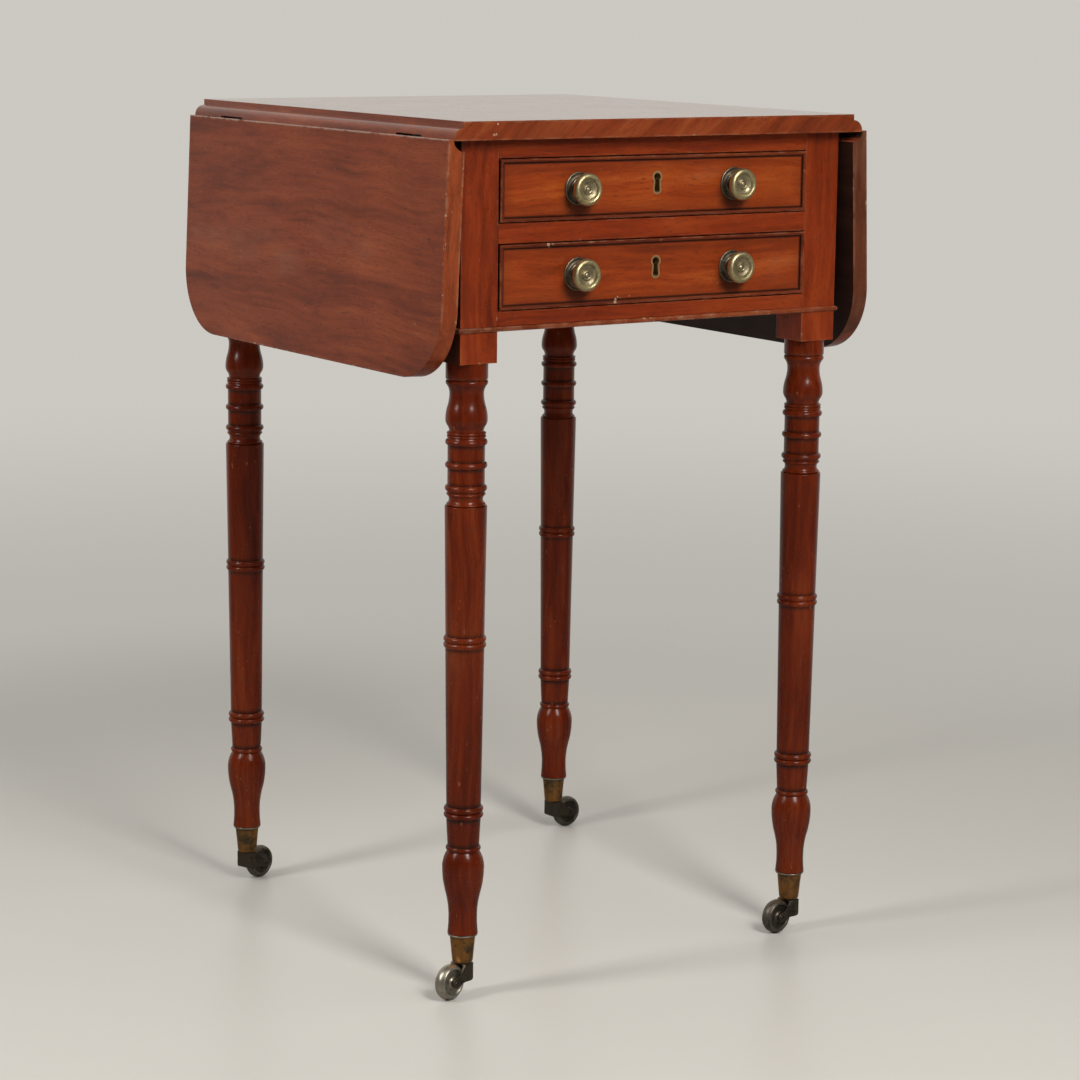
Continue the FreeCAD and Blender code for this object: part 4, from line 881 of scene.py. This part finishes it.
def spun(bm, profile, sides, place):
    """Spin a profile of radius and height in millimetres.

    Place turns a point's offsets from the axis, and its height, into its coordinates."""
    rings = [[bm.verts.new(place(x, y, height / MILLIMETRES))
              for x, y in circle(radius / MILLIMETRES, sides if radius else 1)]
             for radius, height in profile]
    faces = []
    for first, second in zip(rings, rings[1:]):
        for k in range(sides):
            j = (k + 1) % sides
            loop = [first[k % len(first)], first[j % len(first)],
                    second[j % len(second)], second[k % len(second)]]
            faces.append(bm.faces.new(list(dict.fromkeys(loop))))
    bmesh.ops.recalc_face_normals(bm, faces=faces)
    return faces


def mark_relief(bm, rounds=2, gain=2.6):
    """Write at each vertex how far it stands out (+) or lies in a hollow (-)."""
    layer = bm.verts.layers.float.new("relief")
    bm.normal_update()
    bm.verts.ensure_lookup_table()
    bm.verts.index_update()
    near = [[edge.other_vert(vert).index for edge in vert.link_edges] for vert in bm.verts]
    relief = []
    for vert, others in zip(bm.verts, near):
        steps = [bm.verts[other].co - vert.co for other in others]
        length = sum(step.length for step in steps)
        pull = -sum(step.dot(vert.normal) for step in steps)
        relief.append(gain * pull / length if length else 0.0)
    for _ in range(rounds):
        means = [sum(relief[other] for other in others) / max(1, len(others)) for others in near]
        relief = [(own + mean) / 2 for own, mean in zip(relief, means)]
    for vert, amount in zip(bm.verts, relief):
        vert[layer] = max(-1.0, min(1.0, amount))


print("lathe steps of", ARC_STEP, "mm on arcs and", RUN_STEP, "mm on runs")

# %% Leg profile
RINGS = [step for z in (463.8, 445.1, 426.4)
         for step in ((15.1, z + 2.6), (15.1, z - 2.6, "bulge", 2.0))]
COLLAR_AND_VASE = [
    (0.0, 532.0), (17.1, 532.0), (17.1, 515.0), (16.1, 515.0), (16.1, 514.0),
    (16.1, 509.8, "bulge", 1.0), (13.9, 503.0, "level", 503.0), (15.5, 492.5, "level", 503.0),
    (17.1, 482.0, "level", 482.0), (15.5, 477.0, "level", 482.0), (13.9, 472.0, "level", 472.0)]
BEADS_AND_RINGS = [
    (14.8, 472.0), (14.8, 469.6, "bulge", 1.1), (14.8, 467.2, "bulge", 1.1), (15.1, 467.2), *RINGS,
    (15.1, 422.8), (14.8, 422.8), (14.8, 420.4, "bulge", 1.1), (13.8, 417.4, "level", 417.4),
    (14.8, 414.4, "level", 417.4), (14.8, 412.0, "bulge", 1.1)]
SHAFT = [
    (16.6, 412.0), (17.2, 411.4, "level", 411.4), (15.88, 305.02), (15.88, 300.02, "bulge", 1.62),
    (15.88, 295.02, "bulge", 1.62), (14.2, 162.5), (14.2, 157.5, "bulge", 2.1),
    (14.2, 152.5, "bulge", 2.1)]
FOOT = [
    (13.0, 128.5), (13.0, 124.5, "bulge", 1.5), (17.3, 110.0, "level", 110.0),
    (14.55, 89.0, "level", 110.0), (11.8, 68.0, "level", 68.0), (12.6, 53.7, "level", 68.0),
    (8.0, 53.7), (8.0, 41.7), (0.0, 41.7)]
LEG = drawn([*COLLAR_AND_VASE, *BEADS_AND_RINGS, *SHAFT, *FOOT])
print("a leg's profile has", len(LEG), "points")

# %% Legs
SQUARE_FLOOR, SQUARE_EASE, LEG_SIDES = 0.528, 0.0006, 56
CORNER_LENGTH, PLUMB, HAIR = 0.02, 1e-5, 1e-5
OUTER_SIDE = 0.7


def upright_edge(edge):
    """True for the long corners of a leg's square."""
    step = edge.verts[0].co - edge.verts[1].co
    return abs(step.z) > CORNER_LENGTH and abs(step.x) + abs(step.y) < PLUMB


for end in ("front", "back"):
    for hand, side in (("left", -1), ("right", 1)):
        node = "leg_%s_%s" % (end, hand)
        low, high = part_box(node)
        square = (Vector((low.x, low.y, SQUARE_FLOOR)), high)
        axis = (low + high) / 2
        bm = merged_copy(node)
        eased = ease_arrises(bm, SQUARE_EASE, upright_edge)
        below = [vert for vert in bm.verts if vert.co.z < SQUARE_FLOOR - HAIR]
        bmesh.ops.delete(bm, geom=below, context="VERTS")
        # Faces of the square that look out towards the hanging leaf take the dark side tone, painted shade.
        for face in bm.faces:
            face.material_index = 2 if face.normal.x * side > OUTER_SIDE else 0
        for face in spun(bm, LEG, LEG_SIDES, lambda x, y, z: (axis.x + x, axis.y + y, z)):
            face.material_index = 1
        mark_relief(bm)
        stile = timber("polish_square_" + node, TONES["case"], "Z", reach=square, wear=0.4,
                       bleach=0.2, soot=0.3, ior=BOARD_IOR, dents=BOARD_DENTS)
        turning = timber("polish_turning_" + node, TONES["leg"], "Z", wear=0.4, bleach=0.2, soot=0.3,
                         gloss=(0.19, 0.28), ior=1.36, bump=0.05, ripple=0.4, dents=0.7)
        shaded = timber("polish_shaded_" + node, TONES["side"], "Z", reach=square, wear=0.2,
                        bleach=0.2)
        leg = finished_object(node + "_polished", bm, [stile, turning, shaded])
        put_in_place(leg, node, "leg_mahogany")
        print(node, eased, "corners eased,", len(leg.data.polygons), "faces")

# %% [markdown]
# ## Linings and inner woods
# Inside, the table is plain joinery: drawer sides, backs and bottoms, runners and brackets of pale
# wood that was planed and never polished. They show when a drawer is out or a leaf is up. The same
# timber finish serves with dry tones and hardly any gloss.

# %% Linings
INNER_EASE, PLANED_GLOSS = 0.0004, (0.48, 0.62)
INNER_SLOTS = {"pine": "secondary_wood", "lining": "drawer_lining"}
INNER = [("drawer_runners", "pine", "Y"), ("drawer_stops", "pine", "X"),
         ("fly_bracket_blocks", "pine", "Y"), ("left_fly_bracket", "pine", "Y"),
         ("right_fly_bracket", "pine", "Y")]
for prefix in DRAWERS:
    INNER += [(prefix + part, "lining", grain) for part, grain in (
        ("left_side", "Y"), ("right_side", "Y"), ("back", "X"), ("bottom", "X"))]

for node, tone, grain in INNER:
    bm = merged_copy(node)
    ease_arrises(bm, INNER_EASE)
    dry = timber("planed_" + node, TONES[tone], grain, reach=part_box(node), gloss=PLANED_GLOSS)
    put_in_place(finished_object(node + "_planed", bm, [dry]), node, INNER_SLOTS[tone])
print(len(INNER), "inner boards")

# %% [markdown]
# ## Brass and iron
# The knobs, roses, keyhole linings, castors and locks are brass that was last polished long ago. Bare
# metal shows on the crests, a brown and greenish film fills the hollows, and small dark specks lie
# over both. The relief number again tells crest from hollow. The hinges are iron, dark and scaly.

# %% Metal finish
FINE_SCALE, SPECK_SCALE, SPECK_LEVEL = 9.0, 4.0, (0.64, 0.70)
FILM_FROM, FILM_UNTIL, FILM_COVER = 0.72, 0.98, 0.4
FILM_RELIEF, FILM_FINE = 0.35, 0.12
SPECK_HIDES, METAL_HOLLOW, HOLLOW_HIDES = 0.7, (0.08, 0.5), 0.7
RIM_RAG, RIM_EDGE = 0.0006, 0.0005
FINE_ROUGHER, SPECK_ROUGHER = 0.08, 0.12
CLOUD_HEIGHT, FINE_HEIGHT, SPECK_DEPTH = 0.5, 0.25, 0.4
METAL_BUMP, METAL_BUMP_DEPTH = 0.25, 0.0002
FILM_DULLS, SPECK_DULLS = 0.25, 0.2


def old_metal(name, bright, film, specks, gloss, cover=0.5, coarse=120.0, rim=None):
    """Metal with a film of tarnish.

    Cover is the share that the film hides, coarse the scale of its clouds, and rim a height over which
    the metal is rubbed to another colour."""
    material, start = blank(name)
    place = start.node("TexCoord", {}, {}, "Object")
    relief = start.node("Attribute", {"attribute_name": "relief"}, {}, "Fac")
    cloud = noise(place, coarse, 5.0, 0.62)
    fine = noise(place, coarse * FINE_SCALE, 3.0, 0.6)
    speck = fade(noise(place, coarse * SPECK_SCALE, 2.0), *SPECK_LEVEL)
    stain = fade(cloud - relief * FILM_RELIEF + fine * FILM_FINE,
                 FILM_FROM - FILM_COVER * cover, FILM_UNTIL - FILM_COVER * cover)
    colour = tint(stain, bright, film)
    colour = tint(speck * SPECK_HIDES, colour, specks)
    colour = tint(fade(0.0 - relief, *METAL_HOLLOW) * HOLLOW_HIDES, colour, specks)
    if rim:
        height, rubbed = rim
        up = coordinate(place, "Z") + cloud * RIM_RAG
        colour = tint(fade(up, height, height + RIM_EDGE), colour, rubbed)
    rough = gloss[0] + stain * (gloss[1] - gloss[0]) + fine * FINE_ROUGHER + speck * SPECK_ROUGHER
    relieved = cloud * CLOUD_HEIGHT + fine * FINE_HEIGHT - speck * SPECK_DEPTH
    normal = start.node("Bump", {}, {
        "Strength": METAL_BUMP, "Distance": METAL_BUMP_DEPTH, "Height": relieved})
    shader = start.node("BsdfPrincipled", {}, {
        "Base Color": colour, "Metallic": 1.0 - stain * FILM_DULLS - speck * SPECK_DULLS,
        "Roughness": rough, "Normal": normal})
    start.node("OutputMaterial", {}, {"Surface": shader})
    return material


print("a metal finish has", old_metal.__code__.co_argcount, "settings")

# %% Metals
CUP_RIM = (0.0519, (0.42, 0.37, 0.28))
KNOB_BRASS = old_metal("old_knob_brass", (0.70, 0.60, 0.33), (0.30, 0.24, 0.11),
                       (0.06, 0.047, 0.025), (0.40, 0.54), 0.64)
DISH_BRASS = old_metal("dull_dish_brass", (0.54, 0.46, 0.29), (0.20, 0.16, 0.09),
                       (0.035, 0.028, 0.018), (0.40, 0.56), 0.68)
ROSE_BRASS = old_metal("old_rose_brass", (0.30, 0.25, 0.175), (0.090, 0.070, 0.046),
                       (0.02, 0.016, 0.011), (0.36, 0.52), 0.65)
KEY_BRASS = old_metal("keyhole_brass", (0.62, 0.44, 0.20), (0.24, 0.145, 0.055),
                      (0.04, 0.027, 0.013), (0.50, 0.62), 0.55)
CUP_BRASS = old_metal("old_cup_brass", (0.46, 0.215, 0.068), (0.090, 0.064, 0.031),
                      (0.016, 0.020, 0.012), (0.34, 0.54), 0.70, 80.0, CUP_RIM)
FORK_BRONZE = old_metal("dark_fork_bronze", (0.150, 0.125, 0.090), (0.045, 0.036, 0.026),
                        (0.014, 0.011, 0.008), (0.34, 0.52), 0.70, 90.0)
WHEEL_METAL = old_metal("grey_wheel_metal", (0.25, 0.22, 0.175), (0.062, 0.052, 0.040),
                        (0.018, 0.014, 0.011), (0.42, 0.58), 0.68, 90.0)
WORN_WHEEL = old_metal("worn_wheel_metal", (0.62, 0.57, 0.47), (0.22, 0.19, 0.145),
                       (0.035, 0.028, 0.022), (0.34, 0.50), 0.52, 90.0)
LOCK_BRASS = old_metal("old_lock_brass", (0.52, 0.40, 0.21), (0.24, 0.165, 0.075),
                       (0.05, 0.035, 0.02), (0.26, 0.44), 0.45)
IRON = old_metal("old_iron", (0.20, 0.185, 0.17), (0.085, 0.060, 0.045),
                 (0.03, 0.022, 0.018), (0.40, 0.62), 0.6)
print("metals ready, the cups' rims rubbed over", CUP_RIM[0], "m")

# %% [markdown]
# ## Knobs and roses
# A knob is turned on a lathe too: a neck that flares into a thick rounded rim, and in its face a
# hollow dish round a small boss. The rose behind it is a stepped disc with a raised rim. Their
# profiles are coarse, and one level of subdivision rounds the steps. The dish keeps more tarnish than
# the rim that fingers rub.

# %% Turned brass
LATHE_SIDES = 56
BRASS_ROUNDS, BRASS_GAIN = 1, 3.0


def turned_pair(name, profile, centres, materials, choose):
    """The same turning at several centres as one mesh.

    Choose picks a material by the distance from the axis and the height over the drawer front."""
    bm = bmesh.new()
    for centre in centres:
        spun(bm, profile, LATHE_SIDES,
             lambda x, z, out: (centre.x + x, centre.y - out, centre.z + z))
    made = linked_object(name, bm)
    soften = made.modifiers.new("soften", "SUBSURF")
    soften.levels = soften.render_levels = 1
    bake_modifiers(made)
    bm = bmesh.new()
    bm.from_mesh(made.data)
    mark_relief(bm, BRASS_ROUNDS, BRASS_GAIN)
    bm.to_mesh(made.data)
    bm.free()
    made.data.shade_smooth()
    made.data.materials.clear()
    dress(made.data, materials)
    for face in made.data.polygons:
        at = face.center
        off_axis = min(math.hypot(at.x - centre.x, at.z - centre.z) for centre in centres)
        face.material_index = choose(off_axis, centres[0].y - at.y)
    return made


print("turned brass has", LATHE_SIDES, "sides before it is softened")

# %% Knobs
KNOB = [(0.0, -17.0), (2.6, -17.0), (3.0, -16.6), (3.0, 3.2), (4.6, 3.3), (4.6, 4.4), (4.2, 6.0),
        (4.4, 7.6), (5.6, 8.9), (8.2, 9.5), (10.8, 9.9), (12.3, 10.7), (13.2, 11.9), (13.4, 13.2),
        (13.1, 14.4), (12.5, 15.4), (11.7, 16.1), (10.8, 16.5), (9.9, 16.4), (9.1, 15.9), (8.6, 15.2),
        (8.3, 14.6), (8.0, 14.3), (7.6, 14.35), (7.2, 14.3), (6.4, 13.8), (5.4, 13.3), (4.6, 13.05),
        (4.1, 13.1), (3.85, 13.5), (3.7, 14.2), (3.4, 14.55), (2.9, 14.5), (2.5, 14.15), (2.1, 14.1),
        (1.7, 14.5), (1.2, 14.8), (0.6, 14.9), (0.0, 14.9)]
ROSE = [(3.1, 0.0), (13.3, 0.0), (13.6, 0.35), (13.6, 1.0), (13.2, 1.5), (12.6, 1.6), (12.1, 1.35),
        (11.8, 1.05), (10.9, 1.1), (9.7, 1.3), (9.35, 1.6), (9.2, 2.4), (8.8, 3.0), (8.1, 3.35),
        (6.8, 3.4), (5.2, 3.4), (3.1, 3.4), (3.1, 0.0)]
KNOB_REACH, DISH_RADIUS, KNOB_BACK = 0.0165, 0.0085, 0.0104


def knob_metal(off_axis, out):
    """The number of a metal: 0 for the rubbed rim, 1 for the dull dish, 2 for the dark back."""
    if out < KNOB_BACK:
        return 2
    return int(off_axis < DISH_RADIUS)


for prefix in DRAWERS:
    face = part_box(prefix + "knobs")[0].y + KNOB_REACH
    centres = [Vector((x, face, z)) for x, z in knob_axes(prefix)]
    knobs = turned_pair(prefix + "knobs_turned", KNOB, centres,
                        [KNOB_BRASS, DISH_BRASS, ROSE_BRASS], knob_metal)
    put_in_place(knobs, prefix + "knobs", "knob_brass")
    roses = turned_pair(prefix + "roses_turned", ROSE, centres, [ROSE_BRASS],
                        lambda off_axis, out: 0)
    put_in_place(roses, prefix + "roses", "knob_brass")
    print(prefix, [[round(v, 4) for v in c] for c in centres])

# %% [markdown]
# ## Castors
# Each castor is a turned cup, a cast fork and a turned wheel. The fork is a horn: a short neck under
# the cup whose two cheeks sweep back and down to the axle. It is drawn as an outline, given its
# thickness, cut out where the wheel runs and then rounded, as a founder would draw, core and file it.
# The wheel has a crowned tread between two flat rims, and a sunk web in each side. The cups are spun
# from one profile, with a rim that is rubbed pale over a mottled wall.

# %% Castor shapes
WHEEL = [(1.6, -5.0), (4.4, -5.0), (5.0, -3.6), (10.6, -3.4), (11.1, -4.9), (12.9, -5.0), (13.5, -4.5),
         (13.7, -3.9), (14.0, -3.5), (14.6, -2.4), (15.0, 0.0), (14.6, 2.4), (14.0, 3.5), (13.7, 3.9),
         (13.5, 4.5), (12.9, 5.0), (11.1, 4.9), (10.6, 3.4), (5.0, 3.6), (4.4, 5.0), (1.6, 5.0),
         (1.6, -5.0)]
FORK = [(-5.0, 28.2), (5.0, 28.2), (7.0, 25.8), (9.2, 22.9), (11.8, 20.6), (14.2, 19.5), (16.5, 19.2),
        (18.9, 18.5), (20.6, 16.6), (20.9, 14.2), (19.7, 12.0), (17.3, 10.8), (14.8, 11.0),
        (11.5, 12.1), (8.0, 13.1), (4.0, 13.3), (-0.5, 13.0), (-3.6, 13.1), (-5.0, 14.4)]
CUP = [(2.3, 41.6), (8.0, 41.6), (8.0, 53.6), (12.0, 53.6), (12.4, 53.1), (12.4, 52.4), (12.0, 51.9),
       (10.9, 51.6), (10.5, 51.0), (10.4, 49.5), (8.6, 30.6), (8.3, 29.4), (7.5, 28.6), (6.8, 28.5),
       (2.3, 28.5), (2.3, 41.6)]
TURNS = {"front_left": 199, "front_right": 191, "back_left": 20, "back_right": 6}
TRAIL, AXLE_HEIGHT, FORK_HALF, CASTOR_SIDES = 0.0165, 0.015, 0.0078, 48
WHEEL_ROOM, WHEEL_ROOM_HALF, ROOM_SIDES = 0.0162, 0.0056, 64
FORK_ROUND, WHEEL_ROUND = (0.0011, 3, math.radians(50)), (0.00035, 2, math.radians(30))
CASTOR_MERGE = 1e-6


def castor_frame(corner):
    """The swivel axis and the way a castor trails, as a matrix."""
    low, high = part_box("leg_" + corner)
    middle = (low + high) / 2
    trailing = Matrix.Rotation(math.radians(TURNS[corner]), 4, "Z")
    return Matrix.Translation((middle.x, middle.y, 0.0)) @ trailing


def round_off(made, width, segments, angle):
    """Round the edges that are sharper than an angle."""
    bevel = made.modifiers.new("rounded", "BEVEL")
    bevel.width, bevel.segments, bevel.angle_limit = width, segments, angle


def horn(name):
    """A fork about its swivel axis, trailing along +X."""
    bm = bmesh.new()
    near, far = ([bm.verts.new((u / MILLIMETRES, across, w / MILLIMETRES)) for u, w in FORK]
                 for across in (-FORK_HALF, FORK_HALF))
    bm.faces.new(near)
    bm.faces.new(far[::-1])
    for k in range(len(FORK)):
        j = (k + 1) % len(FORK)
        bm.faces.new((near[j], near[k], far[k], far[j]))
    bmesh.ops.recalc_face_normals(bm, faces=bm.faces[:])
    fork = linked_object(name, bm)
    bm = bmesh.new()
    bmesh.ops.create_cone(bm, cap_ends=True, segments=ROOM_SIDES, radius1=WHEEL_ROOM,
                          radius2=WHEEL_ROOM, depth=2 * WHEEL_ROOM_HALF)
    on_axle = Matrix.Translation((TRAIL, 0.0, AXLE_HEIGHT)) @ Matrix.Rotation(math.pi / 2, 4, "X")
    bmesh.ops.transform(bm, verts=bm.verts[:], matrix=on_axle)
    core = linked_object(name + "_core", bm)
    hollow = fork.modifiers.new("core", "BOOLEAN")
    hollow.operation, hollow.object = "DIFFERENCE", core
    round_off(fork, *FORK_ROUND)
    bake_modifiers(fork)
    bpy.data.objects.remove(core)
    return fork


def shaped_metal(made, matrix, metal):
    """Put a finished shape into its place, mark its relief and give it a metal."""
    made.data.transform(matrix)
    bm = bmesh.new()
    bm.from_mesh(made.data)
    bmesh.ops.remove_doubles(bm, verts=bm.verts[:], dist=CASTOR_MERGE)
    mark_relief(bm)
    bm.to_mesh(made.data)
    bm.free()
    made.data.shade_smooth()
    made.data.set_sharp_from_angle(angle=SMOOTH)
    made.data.materials.clear()
    dress(made.data, [metal])


print("castors trail by", TRAIL, "m on wheels of radius", AXLE_HEIGHT, "m")

# %% Castors
cup_bm = bmesh.new()
for corner in TURNS:
    place = castor_frame(corner)
    spun(cup_bm, CUP, CASTOR_SIDES, lambda x, y, z: place @ Vector((x, y, z)))
    fork = horn("castor_fork_%s_cast" % corner)
    shaped_metal(fork, place, FORK_BRONZE)
    put_in_place(fork, "castor_fork_" + corner, "castor_brass")
    bm = bmesh.new()
    spun(bm, WHEEL, CASTOR_SIDES, lambda x, z, out: (TRAIL + x, out, AXLE_HEIGHT + z))
    wheel = linked_object("castor_wheel_%s_turned" % corner, bm)
    round_off(wheel, *WHEEL_ROUND)
    bake_modifiers(wheel)
    shaped_metal(wheel, place, WORN_WHEEL if corner == "front_left" else WHEEL_METAL)
    put_in_place(wheel, "castor_wheel_" + corner, "castor_brass")
    print(corner, len(fork.data.polygons), "faces of fork,", len(wheel.data.polygons), "of wheel")
cups = linked_object("castor_cups_turned", cup_bm)
shaped_metal(cups, Matrix.Identity(4), CUP_BRASS)
put_in_place(cups, "castor_cups", "castor_brass")
print(len(cups.data.polygons), "faces of cups")

# %% [markdown]
# ## Locks and hinges
# The keyhole lining is a thin wall of brass let into the drawer front. Locks and hinges lie hidden
# until a drawer or a leaf moves. They are copied from the CAD pieces, because they are plain plates
# and rods, and get eased edges and their metals.

# %% Metal copies
PLATE_EASE, LOCK_EASE = 0.0002, 0.0003
METAL_COPIES = [(node, IRON, "iron_hardware", ease) for node, ease in (
    ("top_screws", 0.0), ("hinge_top_flaps", PLATE_EASE), ("hinge_pins", 0.0),
    ("fly_bracket_pins", 0.0), ("left_leaf_hinge_flaps", PLATE_EASE),
    ("right_leaf_hinge_flaps", PLATE_EASE))]
METAL_COPIES += [("castor_axle_" + corner, IRON, "castor_brass", 0.0) for corner in TURNS]
for prefix in DRAWERS:
    METAL_COPIES += [(prefix + "escutcheon", KEY_BRASS, "lock_brass", PLATE_EASE),
                     (prefix + "lock_case", LOCK_BRASS, "lock_brass", LOCK_EASE),
                     (prefix + "lock_bolt", LOCK_BRASS, "lock_brass", LOCK_EASE)]

for node, metal, slot, ease in METAL_COPIES:
    bm = merged_copy(node)
    if ease:
        ease_arrises(bm, ease)
    mark_relief(bm)
    put_in_place(finished_object(node + "_worn", bm, [metal]), node, slot)
print(len(METAL_COPIES), "metal pieces")

# %% [markdown]
# ## Screws
# Hinges, locks and bracket blocks are held by slotted iron screws, all alike but for the way each slot
# happened to stop. That is a job for Geometry Nodes: the points say where a screw sits and which way
# it looks, and one tree makes a head with its slot, sets it on every point and turns it by chance. The
# seed is fixed, so the slots never change. The result is made real and becomes one mesh for each
# moving body.

# %% Screw tree
SCREW_INPUTS = {"Head radius": "NodeSocketFloat", "Head height": "NodeSocketFloat",
                "Slot width": "NodeSocketFloat", "Seed": "NodeSocketInt", "Metal": "NodeSocketMaterial"}
HEAD_SIDES = 28
SAW_LENGTH, SAW_HEIGHT, SAW_LIFT = 3.0, 0.9, 0.5


def slotted_head(given):
    """A disc from which a bar across its upper half is cut."""
    radius, height = given.out("Head radius"), given.out("Head height")
    disc = given.node("GeometryNodeMeshCylinder", {}, {
        "Vertices": HEAD_SIDES, "Radius": radius, "Depth": height})
    bar = given.node("CombineXYZ", {}, {
        0: radius * SAW_LENGTH, 1: given.out("Slot width"), 2: height * SAW_HEIGHT})
    lift = given.node("CombineXYZ", {}, {2: height * SAW_LIFT})
    saw = given.node("GeometryNodeMeshCube", {}, {"Size": bar})
    saw = given.node("GeometryNodeTransform", {}, {"Geometry": saw, "Translation": lift})
    cut = {"Mesh 1": disc, "Mesh 2": saw}
    return given.node("GeometryNodeMeshBoolean", {"operation": "DIFFERENCE"}, cut)


def screw_turn(given):
    """A rotation that stands a head on its facing and turns its slot by chance."""
    facing = given.node("GeometryNodeInputNamedAttribute", {"data_type": "FLOAT_VECTOR"},
                        {"Name": "facing"})
    upright = given.node("FunctionNodeAlignRotationToVector", {"axis": "Z"}, {"Vector": facing})
    chance = given.node("FunctionNodeRandomValue", {"data_type": "FLOAT"},
                        {2: 0.0, 3: math.pi, "Seed": given.out("Seed")}, 1)
    twist = given.node("FunctionNodeAxisAngleToRotation", {}, {
        "Axis": (0.0, 0.0, 1.0), "Angle": chance})
    return given.node("FunctionNodeRotateRotation", {"rotation_space": "LOCAL"},
                      {"Rotation": upright, "Rotate By": twist})


def screw_tree():
    """A node tree that turns points with a facing attribute into slotted screw heads."""
    tree = bpy.data.node_groups.new("slotted_screws", "GeometryNodeTree")
    tree.interface.new_socket("Points", in_out="INPUT", socket_type="NodeSocketGeometry")
    for name, kind in SCREW_INPUTS.items():
        tree.interface.new_socket(name, in_out="INPUT", socket_type=kind)
    tree.interface.new_socket("Screws", in_out="OUTPUT", socket_type="NodeSocketGeometry")
    given = Wire(tree).node("NodeGroupInput")
    screws = given.node("GeometryNodeInstanceOnPoints", {}, {
        "Points": given, "Instance": slotted_head(given), "Rotation": screw_turn(given)})
    screws = given.node("GeometryNodeRealizeInstances", {}, {"Geometry": screws})
    screws = given.node("GeometryNodeSetMaterial", {}, {
        "Geometry": screws, "Material": given.out("Metal")})
    given.node("NodeGroupOutput", {}, {"Screws": screws})
    return tree


SCREWS = screw_tree()
print(len(SCREWS.nodes), "nodes in the screw tree")

# %% Places of the screws
LEAF_FLAP_HOLES = [(-0.012, 0.018), (0.012, 0.018), (-0.006, 0.030), (0.012, 0.031)]
LOCK_HOLES = [(-0.021, -0.012), (0.021, -0.012), (-0.021, 0.012), (0.021, 0.012)]
BLOCK_HOLES = [(0.074, 0.662), (0.098, 0.662), (0.074, 0.692), (0.098, 0.692)]
HINGE_SPREAD, FLAP_LIFT = 0.150, 0.001


def leaf_screws(side):
    """Points on the two flaps of a hanging leaf, and the way their screws look."""
    down = Vector((side * math.sin(LEAN), 0.0, -math.cos(LEAN)))
    inward = Vector((-side * math.cos(LEAN), 0.0, -math.sin(LEAN)))
    holes = [(Vector((0.0, end * HINGE_SPREAD + across, 0.0)), drop)
             for end in (-1, 1) for across, drop in LEAF_FLAP_HOLES]
    return [(hinge_pin(side) + along + down * drop + inward * FLAP_LIFT, inward)
            for along, drop in holes]


def lock_screws(node):
    low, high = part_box(node)
    middle = (low + high) / 2
    return [(Vector((middle.x + x, high.y, middle.z + z)), Vector((0.0, 1.0, 0.0)))
            for x, z in LOCK_HOLES]


def block_screws():
    low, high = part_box("fly_bracket_blocks")
    return [(Vector((x, y, z)), Vector((side, 0.0, 0.0)))
            for side, x in ((-1, low.x), (1, high.x)) for y, z in BLOCK_HOLES]


print(len(leaf_screws(1)), "screws to a leaf,", len(LOCK_HOLES), "to a lock,",
      len(block_screws()), "in the bracket blocks")

# %% Screws
SCREW_SIZES = {"Head radius": 0.0027, "Head height": 0.0011, "Slot width": 0.0007, "Metal": IRON}


def set_screws(name, node, places, seed):
    """One mesh of screw heads that moves with a node's body."""
    mesh = bpy.data.meshes.new(name)
    mesh.from_pydata([point for point, _ in places], [], [])
    looks = mesh.attributes.new("facing", "FLOAT_VECTOR", "POINT")
    looks.data.foreach_set("vector", [value for _, look in places for value in look])
    made = bpy.data.objects.new(name, mesh)
    scene.collection.objects.link(made)
    nodes = made.modifiers.new("screws", "NODES")
    nodes.node_group = SCREWS
    wanted = {**SCREW_SIZES, "Seed": seed}
    for item in SCREWS.interface.items_tree:
        if item.name in wanted:
            nodes[item.identifier] = wanted[item.name]
    bake_modifiers(made)
    made.data.shade_smooth()
    made.data.set_sharp_from_angle(angle=SMOOTH)
    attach(made, body_name(node))
    print(name, len(places), "screws,", len(made.data.polygons), "faces")


set_screws("left_leaf_screws", "left_leaf", leaf_screws(-1), 3)
set_screws("right_leaf_screws", "right_leaf", leaf_screws(1), 5)
set_screws("bracket_block_screws", "fly_bracket_blocks", block_screws(), 8)
for seed, prefix in zip((11, 14), DRAWERS):
    case = prefix + "lock_case"
    set_screws(prefix + "lock_screws", case, lock_screws(case), seed)

# %% [markdown]
# ## Sizes
# Dressing a part must not make it grow. The box of the dressed table is printed beside the box of the
# CAD model, so that the two can be compared.

# %% Sizes
sizes = {"cad": cad_box, "visual": [list(corner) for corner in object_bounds()]}
print(sizes)
